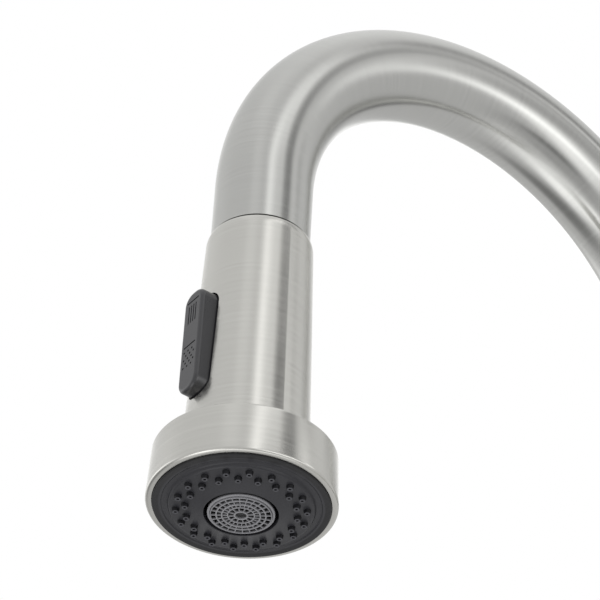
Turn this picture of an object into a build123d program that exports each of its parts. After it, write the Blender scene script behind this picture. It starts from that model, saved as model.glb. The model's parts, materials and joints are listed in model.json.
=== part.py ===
"""Pull-out kitchen faucet: a gooseneck spout with a docked spray head and a side lever.

Millimetres, +Z up. The origin is the centre of the base on the deck. The spout reaches towards -Y,
which is the front, and the lever stands on the +X side. Heights inside the spray head are measured
from the lower edge of its bell ring and written as u.
"""
from math import cos, pi, radians, sin, sqrt
import os

from build123d import *

os.makedirs("parts", exist_ok=True)

# Clearances
running_fit = 0.05
sliding_gap = 0.35
seat_gap = 0.1
seam_gap = 0.6
press_gap = 0.01
thread_gap = 0.02
deck_clearance = 0.3
overrun = 1.0

# Spout tube
overall_height = 400.0
tube_radius = 14.0
tube_wall = 1.0
bend_radius = 79.0
drop_leg = 20.4
arch_z = overall_height - bend_radius - tube_radius
reach = 2 * bend_radius
tube_bore = tube_radius - tube_wall

# Pull-out hose
hose_radius = 6.6
hose_bore = 4.0
hose_tail_z = -66.0
hose_passage = hose_radius + 1.3
guide_length = 8.0
tail_length = 24.0
tail_radius = 5.0
tail_bore = 2.8
tail_ferrule = 12.0
tail_groove = 2.6
tail_groove_radius = 4.2
tail_groove_drop = 21.0

# Body and deck fixing
deck_seal_height = 1.5
flange_radius = 27.5
flange_top = 7.0
flange_bevel_run = 1.2
flange_bevel_rise = 2.2
gasket_inset = 0.8
body_radius = 25.0
body_top = 118.0
body_edge = 4.0
shank_radius = 17.0
shank_bore = 15.2
shank_engagement = 10.0
shank_bottom = -62.0
shank_chamfer = 0.7
clamp_gap = 30.0
washer_radius = 29.0
rubber_thickness = 3.0
steel_thickness = 2.0
nut_radius = 24.0
nut_height = 12.0
nut_corners = 1.06
nut_gap = 1.0
jack_circle = 20.6
jack_radius = 2.0
jack_count = 3
jack_angle = 30.0
jack_end = 3.0
jack_head = 3.0
jack_head_edge = 1.2
jack_socket = 1.6
jack_socket_depth = 1.8
port_radius = 4.0
port_depth = 12.0
port_circle = 11.0
inlet_angle = 60.0
channel_radius = 2.4

# Spout bearing in the top of the body
bearing_radius = 17.5
bearing_depth = 23.0
bearing_floor = body_top - bearing_depth
foot_radius = bearing_radius - running_fit
foot_spigot = 22.0
seal_section = 1.6
seal_squash = 0.1
seal_pitch = 6.5
first_seal = bearing_floor + 6.0
clip_drop = 5.0
clip_height = body_top - clip_drop
clip_thickness = 1.2
clip_groove = 1.2
clip_split = 5.0
glide_thickness = 1.0
collar_radius = 18.5
collar_height = 6.0
collar_round = 2.0

# Ceramic cartridge and its boss, lying along +X
lever_z = 72.0
boss_radius = 22.5
cartridge_floor = 14.5
cartridge_radius = 17.4
cartridge_length = 23.0
cartridge_neck = 12.6
neck_length = 7.0
cartridge_wall = 1.8
nut_length = 8.0
nut_thread = 18.7
base_thickness = 2.9
disc_thickness = 3.4
disc_well_width = 6.0
disc_well_height = 7.5
disc_well_depth = 2.04
moving_disc_radius = 12.2
coupler_thickness = 4.4
water_port_radius = 2.2
water_port_side = 9.5
water_port_rise = 4.0
outlet_drop = 9.0
port_seal_wall = 1.4
port_seal_thickness = 0.9
coupler_corner = 2.4
coupler_slack = 0.5
rotor_end_gap = 0.15
rotor_side_gap = 0.08
rotor_proud = 0.3
rotor_slot_side = 0.3
rotor_pin_inset = 0.8
rotor_slot_inner = 8.2
rotor_slot_waist = 5.0
rotor_slot_outer = 6.2
spanner_slots = 6
spanner_depth = 3.0
spanner_width = 4.0
spanner_reach = 3.4
shoulder_x = cartridge_floor + cartridge_length
boss_end = shoulder_x + nut_length
pivot_x = boss_end - 4.0

# Lever
dome_radius = 21.9
dome_wall = 1.5
dome_opening = 40.0
dome_middle = 60.0
hub_radius = 20.0
hub_back = 14.5
hub_length = 19.5
hub_edge = 1.6
hub_cup = dome_radius + 0.5
cup_middle_angle = 25.0
hub_middle_share = 0.52
stem_tilt = 12.0
stem_radius = 4.0
stem_foot_radius = 3.0
stem_foot = 13.0
stem_reach = 26.0
stem_neck_radius = 2.4
stem_shaft_drop = 6.0
pin_radius = 1.5
rod_lean = 8.0
rod_radius = 4.8
rod_tip_radius = 5.6
rod_tip = 105.0
rod_root = 11.0
rod_gap = 0.3
rod_thread = rod_radius - 1.0
rod_shoulder = hub_radius + 1.0
grub_radius = 2.5
grub_clear = 1.6
grub_length = 8.0
grub_socket = 1.4
grub_socket_depth = 2.5
plug_depth = 1.6
plug_rim = 1.0
rod_round = 2.2

# Spray head outside, with u measured up from the lower edge of the bell ring
head_length = 87.8
ring_z = arch_z - drop_leg - head_length
bell_radius = 25.5
bell_top_radius = 24.9
bell_height = 15.2
bell_bore = 23.64
bell_web = 2.1
sleeve_top_radius = 15.1
sleeve_foot_radius = 17.26
sleeve_wall = 1.2
sleeve_shoulder = 2.6
sleeve_mouth = 12.1
sleeve_lip = 0.15
sleeve_shoulder_lean = 0.25
sleeve_shoulder_drop = 0.9
bell_foot_round = 1.1
bell_top_round = 0.8
bell_neck = 2.6

# Face of the spray head
face_level = -1.25
face_edge = 19.0
face_middle = 14.4
face_middle_level = -1.88
face_hole_level = -2.97
face_back = 3.2
face_hole = 9.9
cove_inner = 19.3
cove_depth = 1.0
crest_radius = 21.55
crest_level = -0.45
face_rim_level = -0.65
face_rim_round = 0.3
nozzle_count = 18
nozzle_outer_circle = 17.26
nozzle_inner_circle = 14.85
nozzle_phase = 12.2
nozzle_height = 1.15
nozzle_root_radius = 1.1
nozzle_tip_radius = 0.8
nozzle_bore = 0.33
mat_thickness = 1.2
mat_inner = 11.2
mat_outer = 21.6

# Aerator
aerator_radius = 8.96
aerator_lip = -3.0
aerator_face = -3.4
aerator_plate = 1.8
aerator_rim = 8.05
aerator_rings = ((0.76, 0.885), (0.593, 0.70), (0.425, 0.54), (0.248, 0.363))
aerator_cell_counts = (24, 24, 24, 12)
aerator_rib = 0.42
aerator_lip_edge = 0.25
housing_top = 13.0
housing_radius = 10.4
housing_roof = 1.4
housing_outlet = 4.0
screen_thickness = 0.8
regulator_bore = 1.6
regulator_hole = 1.0
regulator_holes = 8
regulator_circle = 5.2
aerator_seal_radius = 8.6
aerator_seal_section = 0.5

# Waterway inside the head
core_radius = 13.0
core_flange = 23.3
dock_seat_drop = 11.8
core_top = head_length - dock_seat_drop
inlet_depth = 16.0
inlet_bottom = core_top - inlet_depth
inlet_radius = 7.5
check_radius = 5.2
check_depth = 9.8
check_bottom = inlet_bottom - check_depth
core_step = 22.0
core_step_out = 2.2
chamber_top = 8.5
chamber_wall = 0.6
core_drain = 1.6
core_drain_depth = 3.5
channel_offset = 5.6
cage_guide = 1.15
cage_floor = 1.4
cage_rim = 1.4
cage_inner = 4.0
cage_ports = 4
cage_port = 0.9
cage_port_circle = 2.9
seat_radius = 2.6
seat_drop = 1.0
poppet_radius = 3.3
poppet_disc = 1.4
poppet_stem = 1.08
spring_radius = 2.5
spring_bore = 1.9
spool_offset = 6.8
spool_bore = 2.7
spool_bottom = 19.0
spool_foot = 2.4
spool_land = 2.4
spool_neck = 1.5
spool_seal = 5.6
spool_seal_groove = 0.9
spool_collar_height = 1.0
spool_fork_gap = 0.4
spool_top_drop = 9.6
spray_channel = 1.2
spray_channel_rise = 1.4
stream_channel = 1.8
spool_waist = 1.2
spool_collar = 2.1
spray_port = 13.2
chamber_seal_u = 10.6
chamber_seal_section = 0.8
chamber_seal_depth = 1.5

# Rocker button
rocker_face = 20.2
rocker_back = 14.6
rocker_width = 9.0
rocker_height = 33.8
rocker_corner = 3.8
rocker_gap = 0.5
rocker_drop = 5.2
rocker_pivot_u = check_bottom - rocker_drop
rocker_below = 16.8
rocker_bottom = rocker_pivot_u - rocker_below
lower_seal_u = spool_bottom + spool_seal
upper_seal_u = rocker_pivot_u - spool_top_drop
spool_waist_u = (lower_seal_u + upper_seal_u) / 2
spool_step = (upper_seal_u - lower_seal_u) * 2 / 9
rocker_pivot = 11.8
rocker_pin_radius = 0.8
rocker_barrel = 2.0
rocker_edge = 1.2
arm_reach = 6.4
arm_slot = 6.8
fork_height = 1.6
fork_gap = 0.3
fork_depth = 4.0
rocker_side_gap = 0.4
rocker_web_sink = 0.2
pocket_width = 10.6
pocket_margin = 2.0
pocket_floor = 12.2
lug_thickness = 1.1
lug_height = 7.0
lug_root = 9.6
icon_depth = 0.25
icon_width = 5.4
icon_line = 0.45
stream_bar_u = rocker_pivot_u + 13.6
stream_bar_gap = 1.4
stream_line = 0.405
stream_lines = 4
stream_length = 6.0
spray_bar_u = rocker_pivot_u - 1.6
spray_bar_gap = 1.7
spray_dot = 0.3375
spray_rows = 5
spray_columns = 3
spray_pitch = 1.8
spray_step = 1.3

# Hose end inside the head
hose_nut_radius = 8.6
ferrule_radius = 7.1
ferrule_bore = 2.8
ferrule_bottom = core_top + 5.0
ferrule_top = ferrule_bottom + 11.0
nipple_radius = 4.2
nipple_flange = 1.0
nipple_gap = 0.35
hose_nut_cap = 4.4
hose_washer_thickness = 1.6
hose_washer_inset = 0.3
nipple_length = 6.0

# Dock between the head and the tube
collar_flange = 13.4
collar_bore = 9.2
dock_root_radius = 11.5
dock_tip_radius = 10.3
dock_length = 15.7
dock_tip = head_length + dock_length
dock_tip_round = 0.8
dock_stop = 8.4
dock_stop_gap = 0.5
dock_clip_rise = 5.6
dock_clip_groove = 12.3
dock_clip_bore = 11.5
dock_clip_width = 1.4

# Planes: side views whose local y is height, radius or distance from the axis
body_side = Plane.XZ
head_side = Plane(origin=(0, -reach, ring_z), x_dir=(1, 0, 0), z_dir=(0, -1, 0))
lever_side = Plane(origin=(0, 0, lever_z), x_dir=(1, 0, 0), z_dir=(0, -1, 0))
lever_top = Plane(origin=(0, 0, lever_z), x_dir=(1, 0, 0), z_dir=(0, 0, 1))
body_axis = Axis((0, 0, 0), (0, 0, 1))
head_axis = Axis((0, -reach, 0), (0, 0, 1))
lever_axis = Axis((0, 0, lever_z), (1, 0, 0))


def head_level(u):
    """Horizontal plane on the head axis at height u above the bell ring's lower edge."""
    return Plane(origin=(0, -reach, ring_z + u))


def front_of_head(distance):
    """Upright plane in front of the head axis, facing the front, with local y as u."""
    return Plane(origin=(0, -reach - distance, ring_z), x_dir=(1, 0, 0), z_dir=(0, -1, 0))


def across_lever(x):
    """Plane square to the cartridge axis at x, facing +X, with local x along +Y."""
    return Plane(origin=(x, 0, lever_z), x_dir=(0, 1, 0), z_dir=(1, 0, 0))


def turned(plane, axis, points, mode=Mode.ADD):
    """Revolve a closed outline, given in the side view, all the way round its axis."""
    with BuildSketch(plane) as outline:
        with BuildLine():
            Polyline(*points, close=True)
        make_face()
    revolve(outline.sketch, axis=axis, mode=mode)


def tube_along(plane, outer, inner, height, mode=Mode.ADD):
    """Extrude a ring, or a disc where inner is zero, from a plane."""
    with BuildSketch(plane) as outline:
        Circle(outer)
        if inner > 0:
            Circle(inner, mode=Mode.SUBTRACT)
    extrude(outline.sketch, amount=height, mode=mode)


def seal_ring(plane, axis, radius, height, section):
    """A rubber ring of round section, at a radius and height in the side view."""
    with BuildSketch(plane) as outline:
        with Locations((radius, height)):
            Circle(section)
    revolve(outline.sketch, axis=axis)


def save(shape, name):
    """Label a finished piece and write it."""
    shape.part.label = name
    export_step(shape.part, "parts/" + name + ".step")


def gooseneck(start_z, end_z):
    """Centre line: up the riser, over the half-circle arch and down the drop leg."""
    riser = Line((0, 0, start_z), (0, 0, arch_z))
    arch = ThreePointArc(riser @ 1, (0, -bend_radius, arch_z + bend_radius), (0, -reach, arch_z))
    if end_z < arch_z:
        Line(arch @ 1, (0, -reach, end_z))


# Base flange, with its rubber seal underneath
with BuildPart() as base_flange:
    turned(body_side, body_axis, [
        (shank_radius + deck_clearance, deck_seal_height), (flange_radius, deck_seal_height),
        (flange_radius, flange_top - flange_bevel_rise), (flange_radius - flange_bevel_run, flange_top),
        (shank_radius + deck_clearance, flange_top)])
save(base_flange, "base_flange")

with BuildPart() as deck_gasket:
    tube_along(Plane.XY, flange_radius - gasket_inset, shank_radius + 1.0, deck_seal_height)
save(deck_gasket, "deck_gasket")

# Body: upright column and side boss, bored for the hose, the spout foot, the cartridge and the water
inlet_x = port_circle * cos(radians(inlet_angle))
inlet_y = port_circle * sin(radians(inlet_angle))
inlet_positions = [(inlet_x, inlet_y), (inlet_x, -inlet_y)]
outlet_position = (-port_circle, 0.0)
with BuildPart() as body_housing:
    tube_along(Plane.XY.offset(flange_top), body_radius, 0, body_top - flange_top)
    fillet(body_housing.edges().filter_by(GeomType.CIRCLE).sort_by(Axis.Z)[-1], body_edge)
    tube_along(across_lever(0), boss_radius, 0, boss_end)
    tube_along(across_lever(cartridge_floor), cartridge_radius + seat_gap, 0, boss_end, mode=Mode.SUBTRACT)
    tube_along(across_lever(shoulder_x), nut_thread + seat_gap, 0, nut_length, mode=Mode.SUBTRACT)
    tube_along(Plane.XY, hose_passage, 0, body_top, mode=Mode.SUBTRACT)
    tube_along(Plane.XY.offset(bearing_floor), bearing_radius, 0, body_top, mode=Mode.SUBTRACT)
    tube_along(Plane.XY.offset(clip_height), bearing_radius + clip_groove, 0, clip_thickness,
               mode=Mode.SUBTRACT)
    tube_along(Plane.XY, shank_radius, 0, flange_top + shank_engagement, mode=Mode.SUBTRACT)
    with BuildSketch(Plane.XY.offset(flange_top + shank_engagement)):
        with Locations(*inlet_positions, outlet_position):
            Circle(port_radius)
    extrude(amount=port_depth, mode=Mode.SUBTRACT)
    with BuildSketch(Plane.XY.offset(flange_top + shank_engagement)):
        with Locations(*inlet_positions):
            Circle(channel_radius)
    extrude(amount=lever_z + water_port_rise - flange_top - shank_engagement, mode=Mode.SUBTRACT)
    with BuildSketch(across_lever(inlet_x)):
        with Locations((water_port_side, water_port_rise), (-water_port_side, water_port_rise)):
            Circle(water_port_radius)
    extrude(amount=cartridge_floor - inlet_x, mode=Mode.SUBTRACT)
save(body_housing, "body_housing")

# Shank, washers, mounting nut and jack screws under the deck
with BuildPart() as threaded_shank:
    shank_length = flange_top + shank_engagement - shank_bottom - seat_gap
    tube_along(Plane.XY.offset(shank_bottom), shank_radius, shank_bore, shank_length)
    chamfer(threaded_shank.edges().filter_by(GeomType.CIRCLE).group_by(Axis.Z)[0], shank_chamfer)
save(threaded_shank, "threaded_shank")

rubber_bottom = -clamp_gap - rubber_thickness
steel_bottom = rubber_bottom - steel_thickness
nut_bottom = steel_bottom - nut_height - nut_gap
with BuildPart() as rubber_washer:
    tube_along(Plane.XY.offset(rubber_bottom), washer_radius, shank_radius + 0.4, rubber_thickness)
save(rubber_washer, "rubber_washer")

with BuildPart() as steel_washer:
    tube_along(Plane.XY.offset(steel_bottom), washer_radius - 1.0, shank_radius + deck_clearance,
               steel_thickness)
save(steel_washer, "steel_washer")

with BuildPart() as mounting_nut:
    with BuildSketch(Plane.XY.offset(nut_bottom)):
        RegularPolygon(radius=nut_radius * nut_corners, side_count=6)
        Circle(nut_radius, mode=Mode.INTERSECT)
        Circle(shank_radius + seat_gap / 2, mode=Mode.SUBTRACT)
        with PolarLocations(jack_circle, jack_count, start_angle=jack_angle):
            Circle(jack_radius, mode=Mode.SUBTRACT)
    extrude(amount=nut_height)
save(mounting_nut, "mounting_nut")

with BuildPart() as jack_screws:
    with BuildSketch(Plane.XY.offset(nut_bottom - jack_end)):
        with PolarLocations(jack_circle, jack_count, start_angle=jack_angle):
            Circle(jack_radius)
    extrude(amount=steel_bottom - nut_bottom + jack_end)
    with BuildSketch(Plane.XY.offset(nut_bottom - jack_end - jack_head)):
        with PolarLocations(jack_circle, jack_count, start_angle=jack_angle):
            Circle(jack_radius + jack_head_edge)
    extrude(amount=jack_head)
    with BuildSketch(Plane.XY.offset(nut_bottom - jack_end - jack_head)):
        with PolarLocations(jack_circle, jack_count, start_angle=jack_angle):
            RegularPolygon(radius=jack_socket, side_count=6)
    extrude(amount=jack_socket_depth, mode=Mode.SUBTRACT)
save(jack_screws, "jack_screws")

# Spout foot: a brass sleeve that turns in the body, with two seals, a clip and a glide ring
bearing_seal_heights = (first_seal, first_seal + seal_pitch)
groove_floor = foot_radius - seal_section - 0.2
foot_top = body_top + glide_thickness + foot_spigot
with BuildPart() as spout_foot:
    tube_along(Plane.XY.offset(bearing_floor + seat_gap), foot_radius, hose_passage,
               body_top - bearing_floor - seat_gap)
    tube_along(Plane.XY.offset(body_top), tube_bore - seat_gap / 2, hose_passage, foot_top - body_top)
    for height in bearing_seal_heights:
        tube_along(Plane.XY.offset(height - seal_section), foot_radius + overrun, groove_floor,
                   2 * seal_section, mode=Mode.SUBTRACT)
    tube_along(Plane.XY.offset(clip_height - sliding_gap), foot_radius + overrun,
               foot_radius - clip_groove - seat_gap, clip_thickness + 2 * sliding_gap, mode=Mode.SUBTRACT)
save(spout_foot, "spout_foot")

with BuildPart() as bearing_seals:
    for height in bearing_seal_heights:
        seal_ring(body_side, body_axis, foot_radius - seal_section / 2 - seal_squash, height,
                  (seal_section + seal_squash) / 2)
save(bearing_seals, "bearing_seals")

with BuildPart() as spout_clip:
    tube_along(Plane.XY.offset(clip_height), bearing_radius + clip_groove - running_fit,
               foot_radius - clip_groove + 3 * seat_gap, clip_thickness)
    with BuildSketch(Plane.XY.offset(clip_height)):
        with Locations((0, bearing_radius)):
            Rectangle(clip_split, clip_split + overrun)
    extrude(amount=clip_thickness, mode=Mode.SUBTRACT)
save(spout_clip, "spout_clip")

with BuildPart() as glide_ring:
    tube_along(Plane.XY.offset(body_top), collar_radius - 0.6, tube_radius + 0.4, glide_thickness)
save(glide_ring, "glide_ring")

collar_bottom = body_top + glide_thickness
with BuildPart() as spout_collar:
    tube_along(Plane.XY.offset(collar_bottom), collar_radius, tube_radius + seat_gap / 2, collar_height)
    top_edges = spout_collar.edges().filter_by(GeomType.CIRCLE).group_by(Axis.Z)[-1]
    fillet(top_edges.sort_by(SortBy.RADIUS)[-1], collar_round)
save(spout_collar, "spout_collar")

# Spout tube, and the hose inside it
tube_end = ring_z + head_length + seam_gap
with BuildPart() as spout_tube:
    with BuildLine():
        gooseneck(collar_bottom, tube_end)
    with BuildSketch(Plane.XY.offset(collar_bottom)):
        Circle(tube_radius)
        Circle(tube_bore, mode=Mode.SUBTRACT)
    sweep()
save(spout_tube, "spout_tube")

with BuildPart() as hose_run:
    with BuildLine():
        gooseneck(hose_tail_z, arch_z)
    with BuildSketch(Plane.XY.offset(hose_tail_z)):
        Circle(hose_radius)
        Circle(hose_bore, mode=Mode.SUBTRACT)
    sweep()
save(hose_run, "hose_run")
hose_section = pi * (hose_radius ** 2 - hose_bore ** 2)
hose_length = arch_z - hose_tail_z + pi * bend_radius
print("hose bend radius", bend_radius, "volume over section times length",
      round(hose_run.part.volume / (hose_section * hose_length), 5))

with BuildPart() as hose_guide:
    tube_along(Plane.XY.offset(foot_top), tube_bore - seat_gap / 2, hose_radius + deck_clearance, guide_length)
save(hose_guide, "hose_guide")

with BuildPart() as hose_tail:
    tube_along(Plane.XY.offset(hose_tail_z - tail_length), tail_radius, tail_bore, tail_length)
    tube_along(Plane.XY.offset(hose_tail_z - tail_ferrule), ferrule_radius, tail_bore, tail_ferrule)
    tube_along(Plane.XY.offset(hose_tail_z - tail_groove_drop), tail_radius + overrun, tail_groove_radius,
               tail_groove, mode=Mode.SUBTRACT)
save(hose_tail, "hose_tail")

# Cartridge, from its base outwards
with BuildPart() as cartridge_seals:
    with BuildSketch(across_lever(cartridge_floor + seat_gap / 2)):
        seal_places = [(water_port_side, water_port_rise), (-water_port_side, water_port_rise),
                       (0, -outlet_drop)]
        with Locations(*seal_places):
            Circle(water_port_radius + port_seal_wall)
            Circle(water_port_radius, mode=Mode.SUBTRACT)
    extrude(amount=port_seal_thickness)
save(cartridge_seals, "cartridge_seals")

base_start = cartridge_floor + port_seal_thickness + running_fit
fixed_start = base_start + base_thickness
moving_start = fixed_start + disc_thickness + running_fit
coupler_start = moving_start + disc_thickness
rotor_start = coupler_start + coupler_thickness + rotor_proud
inner_radius = cartridge_radius - cartridge_wall
disc_shift = stem_foot * sin(radians(stem_tilt))

with BuildPart() as cartridge_base:
    with BuildSketch(across_lever(base_start)):
        Circle(inner_radius - seat_gap)
        with Locations(*seal_places):
            Circle(water_port_radius, mode=Mode.SUBTRACT)
    extrude(amount=base_thickness)
save(cartridge_base, "cartridge_base")

with BuildPart() as fixed_disc:
    with BuildSketch(across_lever(fixed_start)):
        Circle(inner_radius - seat_gap)
        with Locations(*seal_places):
            Circle(water_port_radius, mode=Mode.SUBTRACT)
    extrude(amount=disc_thickness)
save(fixed_disc, "fixed_disc")

with BuildPart() as moving_disc:
    with BuildSketch(across_lever(moving_start)):
        with Locations((0, -disc_shift)):
            Circle(moving_disc_radius)
    extrude(amount=disc_thickness)
    with BuildSketch(across_lever(moving_start)):
        with Locations((0, -disc_shift)):
            Ellipse(disc_well_width, disc_well_height)
    extrude(amount=disc_well_depth, mode=Mode.SUBTRACT)
save(moving_disc, "moving_disc")

with BuildPart() as disc_coupler:
    with BuildSketch(across_lever(coupler_start)):
        with Locations((0, -disc_shift)):
            Circle(moving_disc_radius)
            RectangleRounded(2 * stem_foot_radius + coupler_slack, 2 * stem_foot_radius + 2 * coupler_slack,
                             coupler_corner, mode=Mode.SUBTRACT)
    extrude(amount=coupler_thickness)
save(disc_coupler, "disc_coupler")

neck_end = shoulder_x + neck_length
with BuildPart() as cartridge_body:
    turned(lever_side, lever_axis, [
        (cartridge_floor + seat_gap, inner_radius), (cartridge_floor + seat_gap, cartridge_radius),
        (shoulder_x, cartridge_radius), (shoulder_x, cartridge_neck), (neck_end, cartridge_neck),
        (neck_end, cartridge_neck - cartridge_wall),
        (shoulder_x - cartridge_wall, cartridge_neck - cartridge_wall),
        (shoulder_x - cartridge_wall, inner_radius)])
save(cartridge_body, "cartridge_body")

rotor_shoulder = shoulder_x - cartridge_wall - rotor_end_gap
rotor_neck = cartridge_neck - cartridge_wall - rotor_side_gap
rotor_end = neck_end + rotor_proud
with BuildPart() as rotor:
    turned(lever_side, lever_axis, [
        (rotor_start, 0), (rotor_start, inner_radius - rotor_proud),
        (rotor_shoulder, inner_radius - rotor_proud),
        (rotor_shoulder, rotor_neck), (rotor_end, rotor_neck), (rotor_end, 0)])
    with BuildSketch(lever_side):
        with BuildLine():
            slot_start = rotor_start - overrun
            slot_end = neck_end + overrun
            Polyline((slot_start, -rotor_slot_inner), (pivot_x, -rotor_slot_waist),
                     (slot_end, -rotor_slot_outer), (slot_end, rotor_slot_outer),
                     (pivot_x, rotor_slot_waist), (slot_start, rotor_slot_inner), close=True)
        make_face()
    extrude(amount=stem_radius + rotor_slot_side, both=True, mode=Mode.SUBTRACT)
    with BuildSketch(lever_side):
        with Locations((pivot_x, 0)):
            Circle(pin_radius)
    extrude(amount=rotor_neck - rotor_pin_inset, both=True, mode=Mode.SUBTRACT)
save(rotor, "rotor")

with BuildPart() as stem_pin:
    with BuildSketch(lever_side):
        with Locations((pivot_x, 0)):
            Circle(pin_radius - press_gap)
    extrude(amount=rotor_neck - rotor_pin_inset - seat_gap, both=True)
save(stem_pin, "stem_pin")

# Stem: pivots on the pin, with a ball foot in the coupler and a shaft that carries the hub
stem_direction = (cos(radians(stem_tilt)), 0, sin(radians(stem_tilt)))
stem_plane = Plane(origin=(pivot_x, 0, lever_z), x_dir=(0, 1, 0), z_dir=stem_direction)
with BuildPart() as stem:
    tube_along(stem_plane.offset(-stem_shaft_drop), stem_radius, 0, stem_reach + stem_shaft_drop)
    tube_along(stem_plane.offset(-stem_foot), stem_neck_radius, 0, stem_foot - stem_shaft_drop + overrun)
    foot_ball = stem_plane.offset(-stem_foot)
    with Locations(foot_ball):
        Sphere(stem_foot_radius)
    with BuildSketch(lever_side):
        with Locations((pivot_x, 0)):
            Circle(pin_radius + running_fit)
    extrude(amount=stem_radius + overrun, both=True, mode=Mode.SUBTRACT)
save(stem, "stem")

with BuildPart() as cartridge_nut:
    tube_along(across_lever(shoulder_x + seat_gap / 2), nut_thread, cartridge_neck + 5 * running_fit,
               nut_length - seat_gap)
    with BuildSketch(across_lever(boss_end - spanner_depth)):
        with PolarLocations(nut_thread - 1.2, spanner_slots):
            Rectangle(spanner_reach, spanner_width)
    extrude(amount=spanner_depth + overrun, mode=Mode.SUBTRACT)
save(cartridge_nut, "cartridge_nut")

# Dome cap: a thin sphere about the stem's pivot, seated on the end of the boss
dome_inner = dome_radius - dome_wall
with BuildPart() as dome_cap:
    with BuildSketch(lever_side):
        with BuildLine():
            outer_start = (boss_end, sqrt(dome_radius ** 2 - (boss_end - pivot_x) ** 2))
            middle = radians(dome_middle)
            outer_middle = (pivot_x + dome_radius * cos(middle), dome_radius * sin(middle))
            opening = radians(dome_opening)
            outer_end = (pivot_x + dome_radius * cos(opening), dome_radius * sin(opening))
            inner_end = (pivot_x + dome_inner * cos(opening), dome_inner * sin(opening))
            inner_middle = (pivot_x + dome_inner * cos(middle), dome_inner * sin(middle))
            inner_start = (boss_end, sqrt(dome_inner ** 2 - (boss_end - pivot_x) ** 2))
            ThreePointArc(outer_start, outer_middle, outer_end)
            Line(outer_end, inner_end)
            ThreePointArc(inner_end, inner_middle, inner_start)
            Line(inner_start, outer_start)
        make_face()
    revolve(axis=lever_axis)
save(dome_cap, "dome_cap")

# Handle hub, lever rod, set screw and index plug
hub_start = pivot_x + hub_back
hub_end = hub_start + hub_length
hub_middle = hub_start + hub_length * hub_middle_share
rod_direction = (sin(radians(rod_lean)), 0, cos(radians(rod_lean)))
rod_plane = Plane(origin=(hub_middle, 0, lever_z), x_dir=(0, 1, 0), z_dir=rod_direction)
grub_plane = Plane(origin=(hub_middle, 0, lever_z), x_dir=(1, 0, 0), z_dir=(0, 0, -1))
plug_plane = grub_plane.offset(hub_radius - plug_depth)
grub_start = stem_radius + grub_clear
with BuildPart() as handle_hub:
    with BuildSketch(lever_top):
        with BuildLine():
            cup_top = (pivot_x + hub_cup, 0)
            cup_middle = (pivot_x + hub_cup * cos(radians(cup_middle_angle)),
                          hub_cup * sin(radians(cup_middle_angle)))
            cup_rim = (hub_start, sqrt(hub_cup ** 2 - hub_back ** 2))
            ThreePointArc(cup_top, cup_middle, cup_rim)
            Polyline(cup_rim, (hub_start, hub_radius), (hub_end - hub_edge, hub_radius))
            RadiusArc((hub_end - hub_edge, hub_radius), (hub_end, hub_radius - hub_edge), hub_edge)
            Polyline((hub_end, hub_radius - hub_edge), (hub_end, 0), cup_top)
        make_face()
    revolve(axis=lever_axis)
    tube_along(stem_plane, stem_radius + running_fit, 0, stem_reach + rod_gap, mode=Mode.SUBTRACT)
    tube_along(rod_plane.offset(rod_root), rod_thread, 0, hub_radius, mode=Mode.SUBTRACT)
    tube_along(grub_plane.offset(grub_start - 2 * rod_gap), grub_radius, 0, hub_radius, mode=Mode.SUBTRACT)
    tube_along(plug_plane, grub_radius + plug_rim, 0, plug_depth + overrun, mode=Mode.SUBTRACT)
save(handle_hub, "handle_hub")

with BuildPart() as lever_rod:
    tube_along(rod_plane.offset(rod_root + rod_gap), rod_thread - thread_gap, 0, rod_shoulder - rod_root)
    with BuildSketch(rod_plane.offset(rod_shoulder)):
        Circle(rod_radius)
    with BuildSketch(rod_plane.offset(rod_tip)):
        Circle(rod_tip_radius)
    loft()
    fillet(lever_rod.edges().filter_by(GeomType.CIRCLE).sort_by(Axis.Z)[-1], rod_round)
save(lever_rod, "lever_rod")

with BuildPart() as set_screw:
    tube_along(grub_plane.offset(grub_start), grub_radius - thread_gap, 0, grub_length)
    with BuildSketch(grub_plane.offset(grub_start + grub_length - grub_socket_depth)):
        RegularPolygon(radius=grub_socket, side_count=6)
    extrude(amount=grub_length, mode=Mode.SUBTRACT)
save(set_screw, "set_screw")

with BuildPart() as index_plug:
    tube_along(plug_plane.offset(running_fit), grub_radius + plug_rim - running_fit, 0, plug_depth - seat_gap)
save(index_plug, "index_plug")

# Spray head: bell ring and sleeve
with BuildPart() as bell_ring:
    with BuildSketch(head_side):
        with BuildLine():
            foot_inner = (bell_radius - bell_foot_round, -seat_gap)
            foot_outer = (bell_radius, bell_foot_round - seat_gap)
            top_outer = (bell_top_radius, bell_height - bell_top_round)
            top_inner = (bell_top_radius - bell_top_round, bell_height)
            Line((bell_bore, -seat_gap), foot_inner)
            RadiusArc(foot_inner, foot_outer, -bell_foot_round)
            Line(foot_outer, top_outer)
            RadiusArc(top_outer, top_inner, -bell_top_round)
            Polyline(top_inner, (core_radius + bell_neck, bell_height),
                     (core_radius + bell_neck, bell_height - bell_web), (bell_bore, bell_height - bell_web),
                     (bell_bore, -seat_gap))
        make_face()
    revolve(axis=head_axis)
save(bell_ring, "bell_ring")

sleeve_foot = bell_height + seat_gap
sleeve_slope = (sleeve_foot_radius - sleeve_top_radius) / (head_length - sleeve_shoulder - sleeve_foot)


def sleeve_radius(u):
    """Outside radius of the conical sleeve at height u."""
    return sleeve_foot_radius - sleeve_slope * (u - sleeve_foot)


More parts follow.
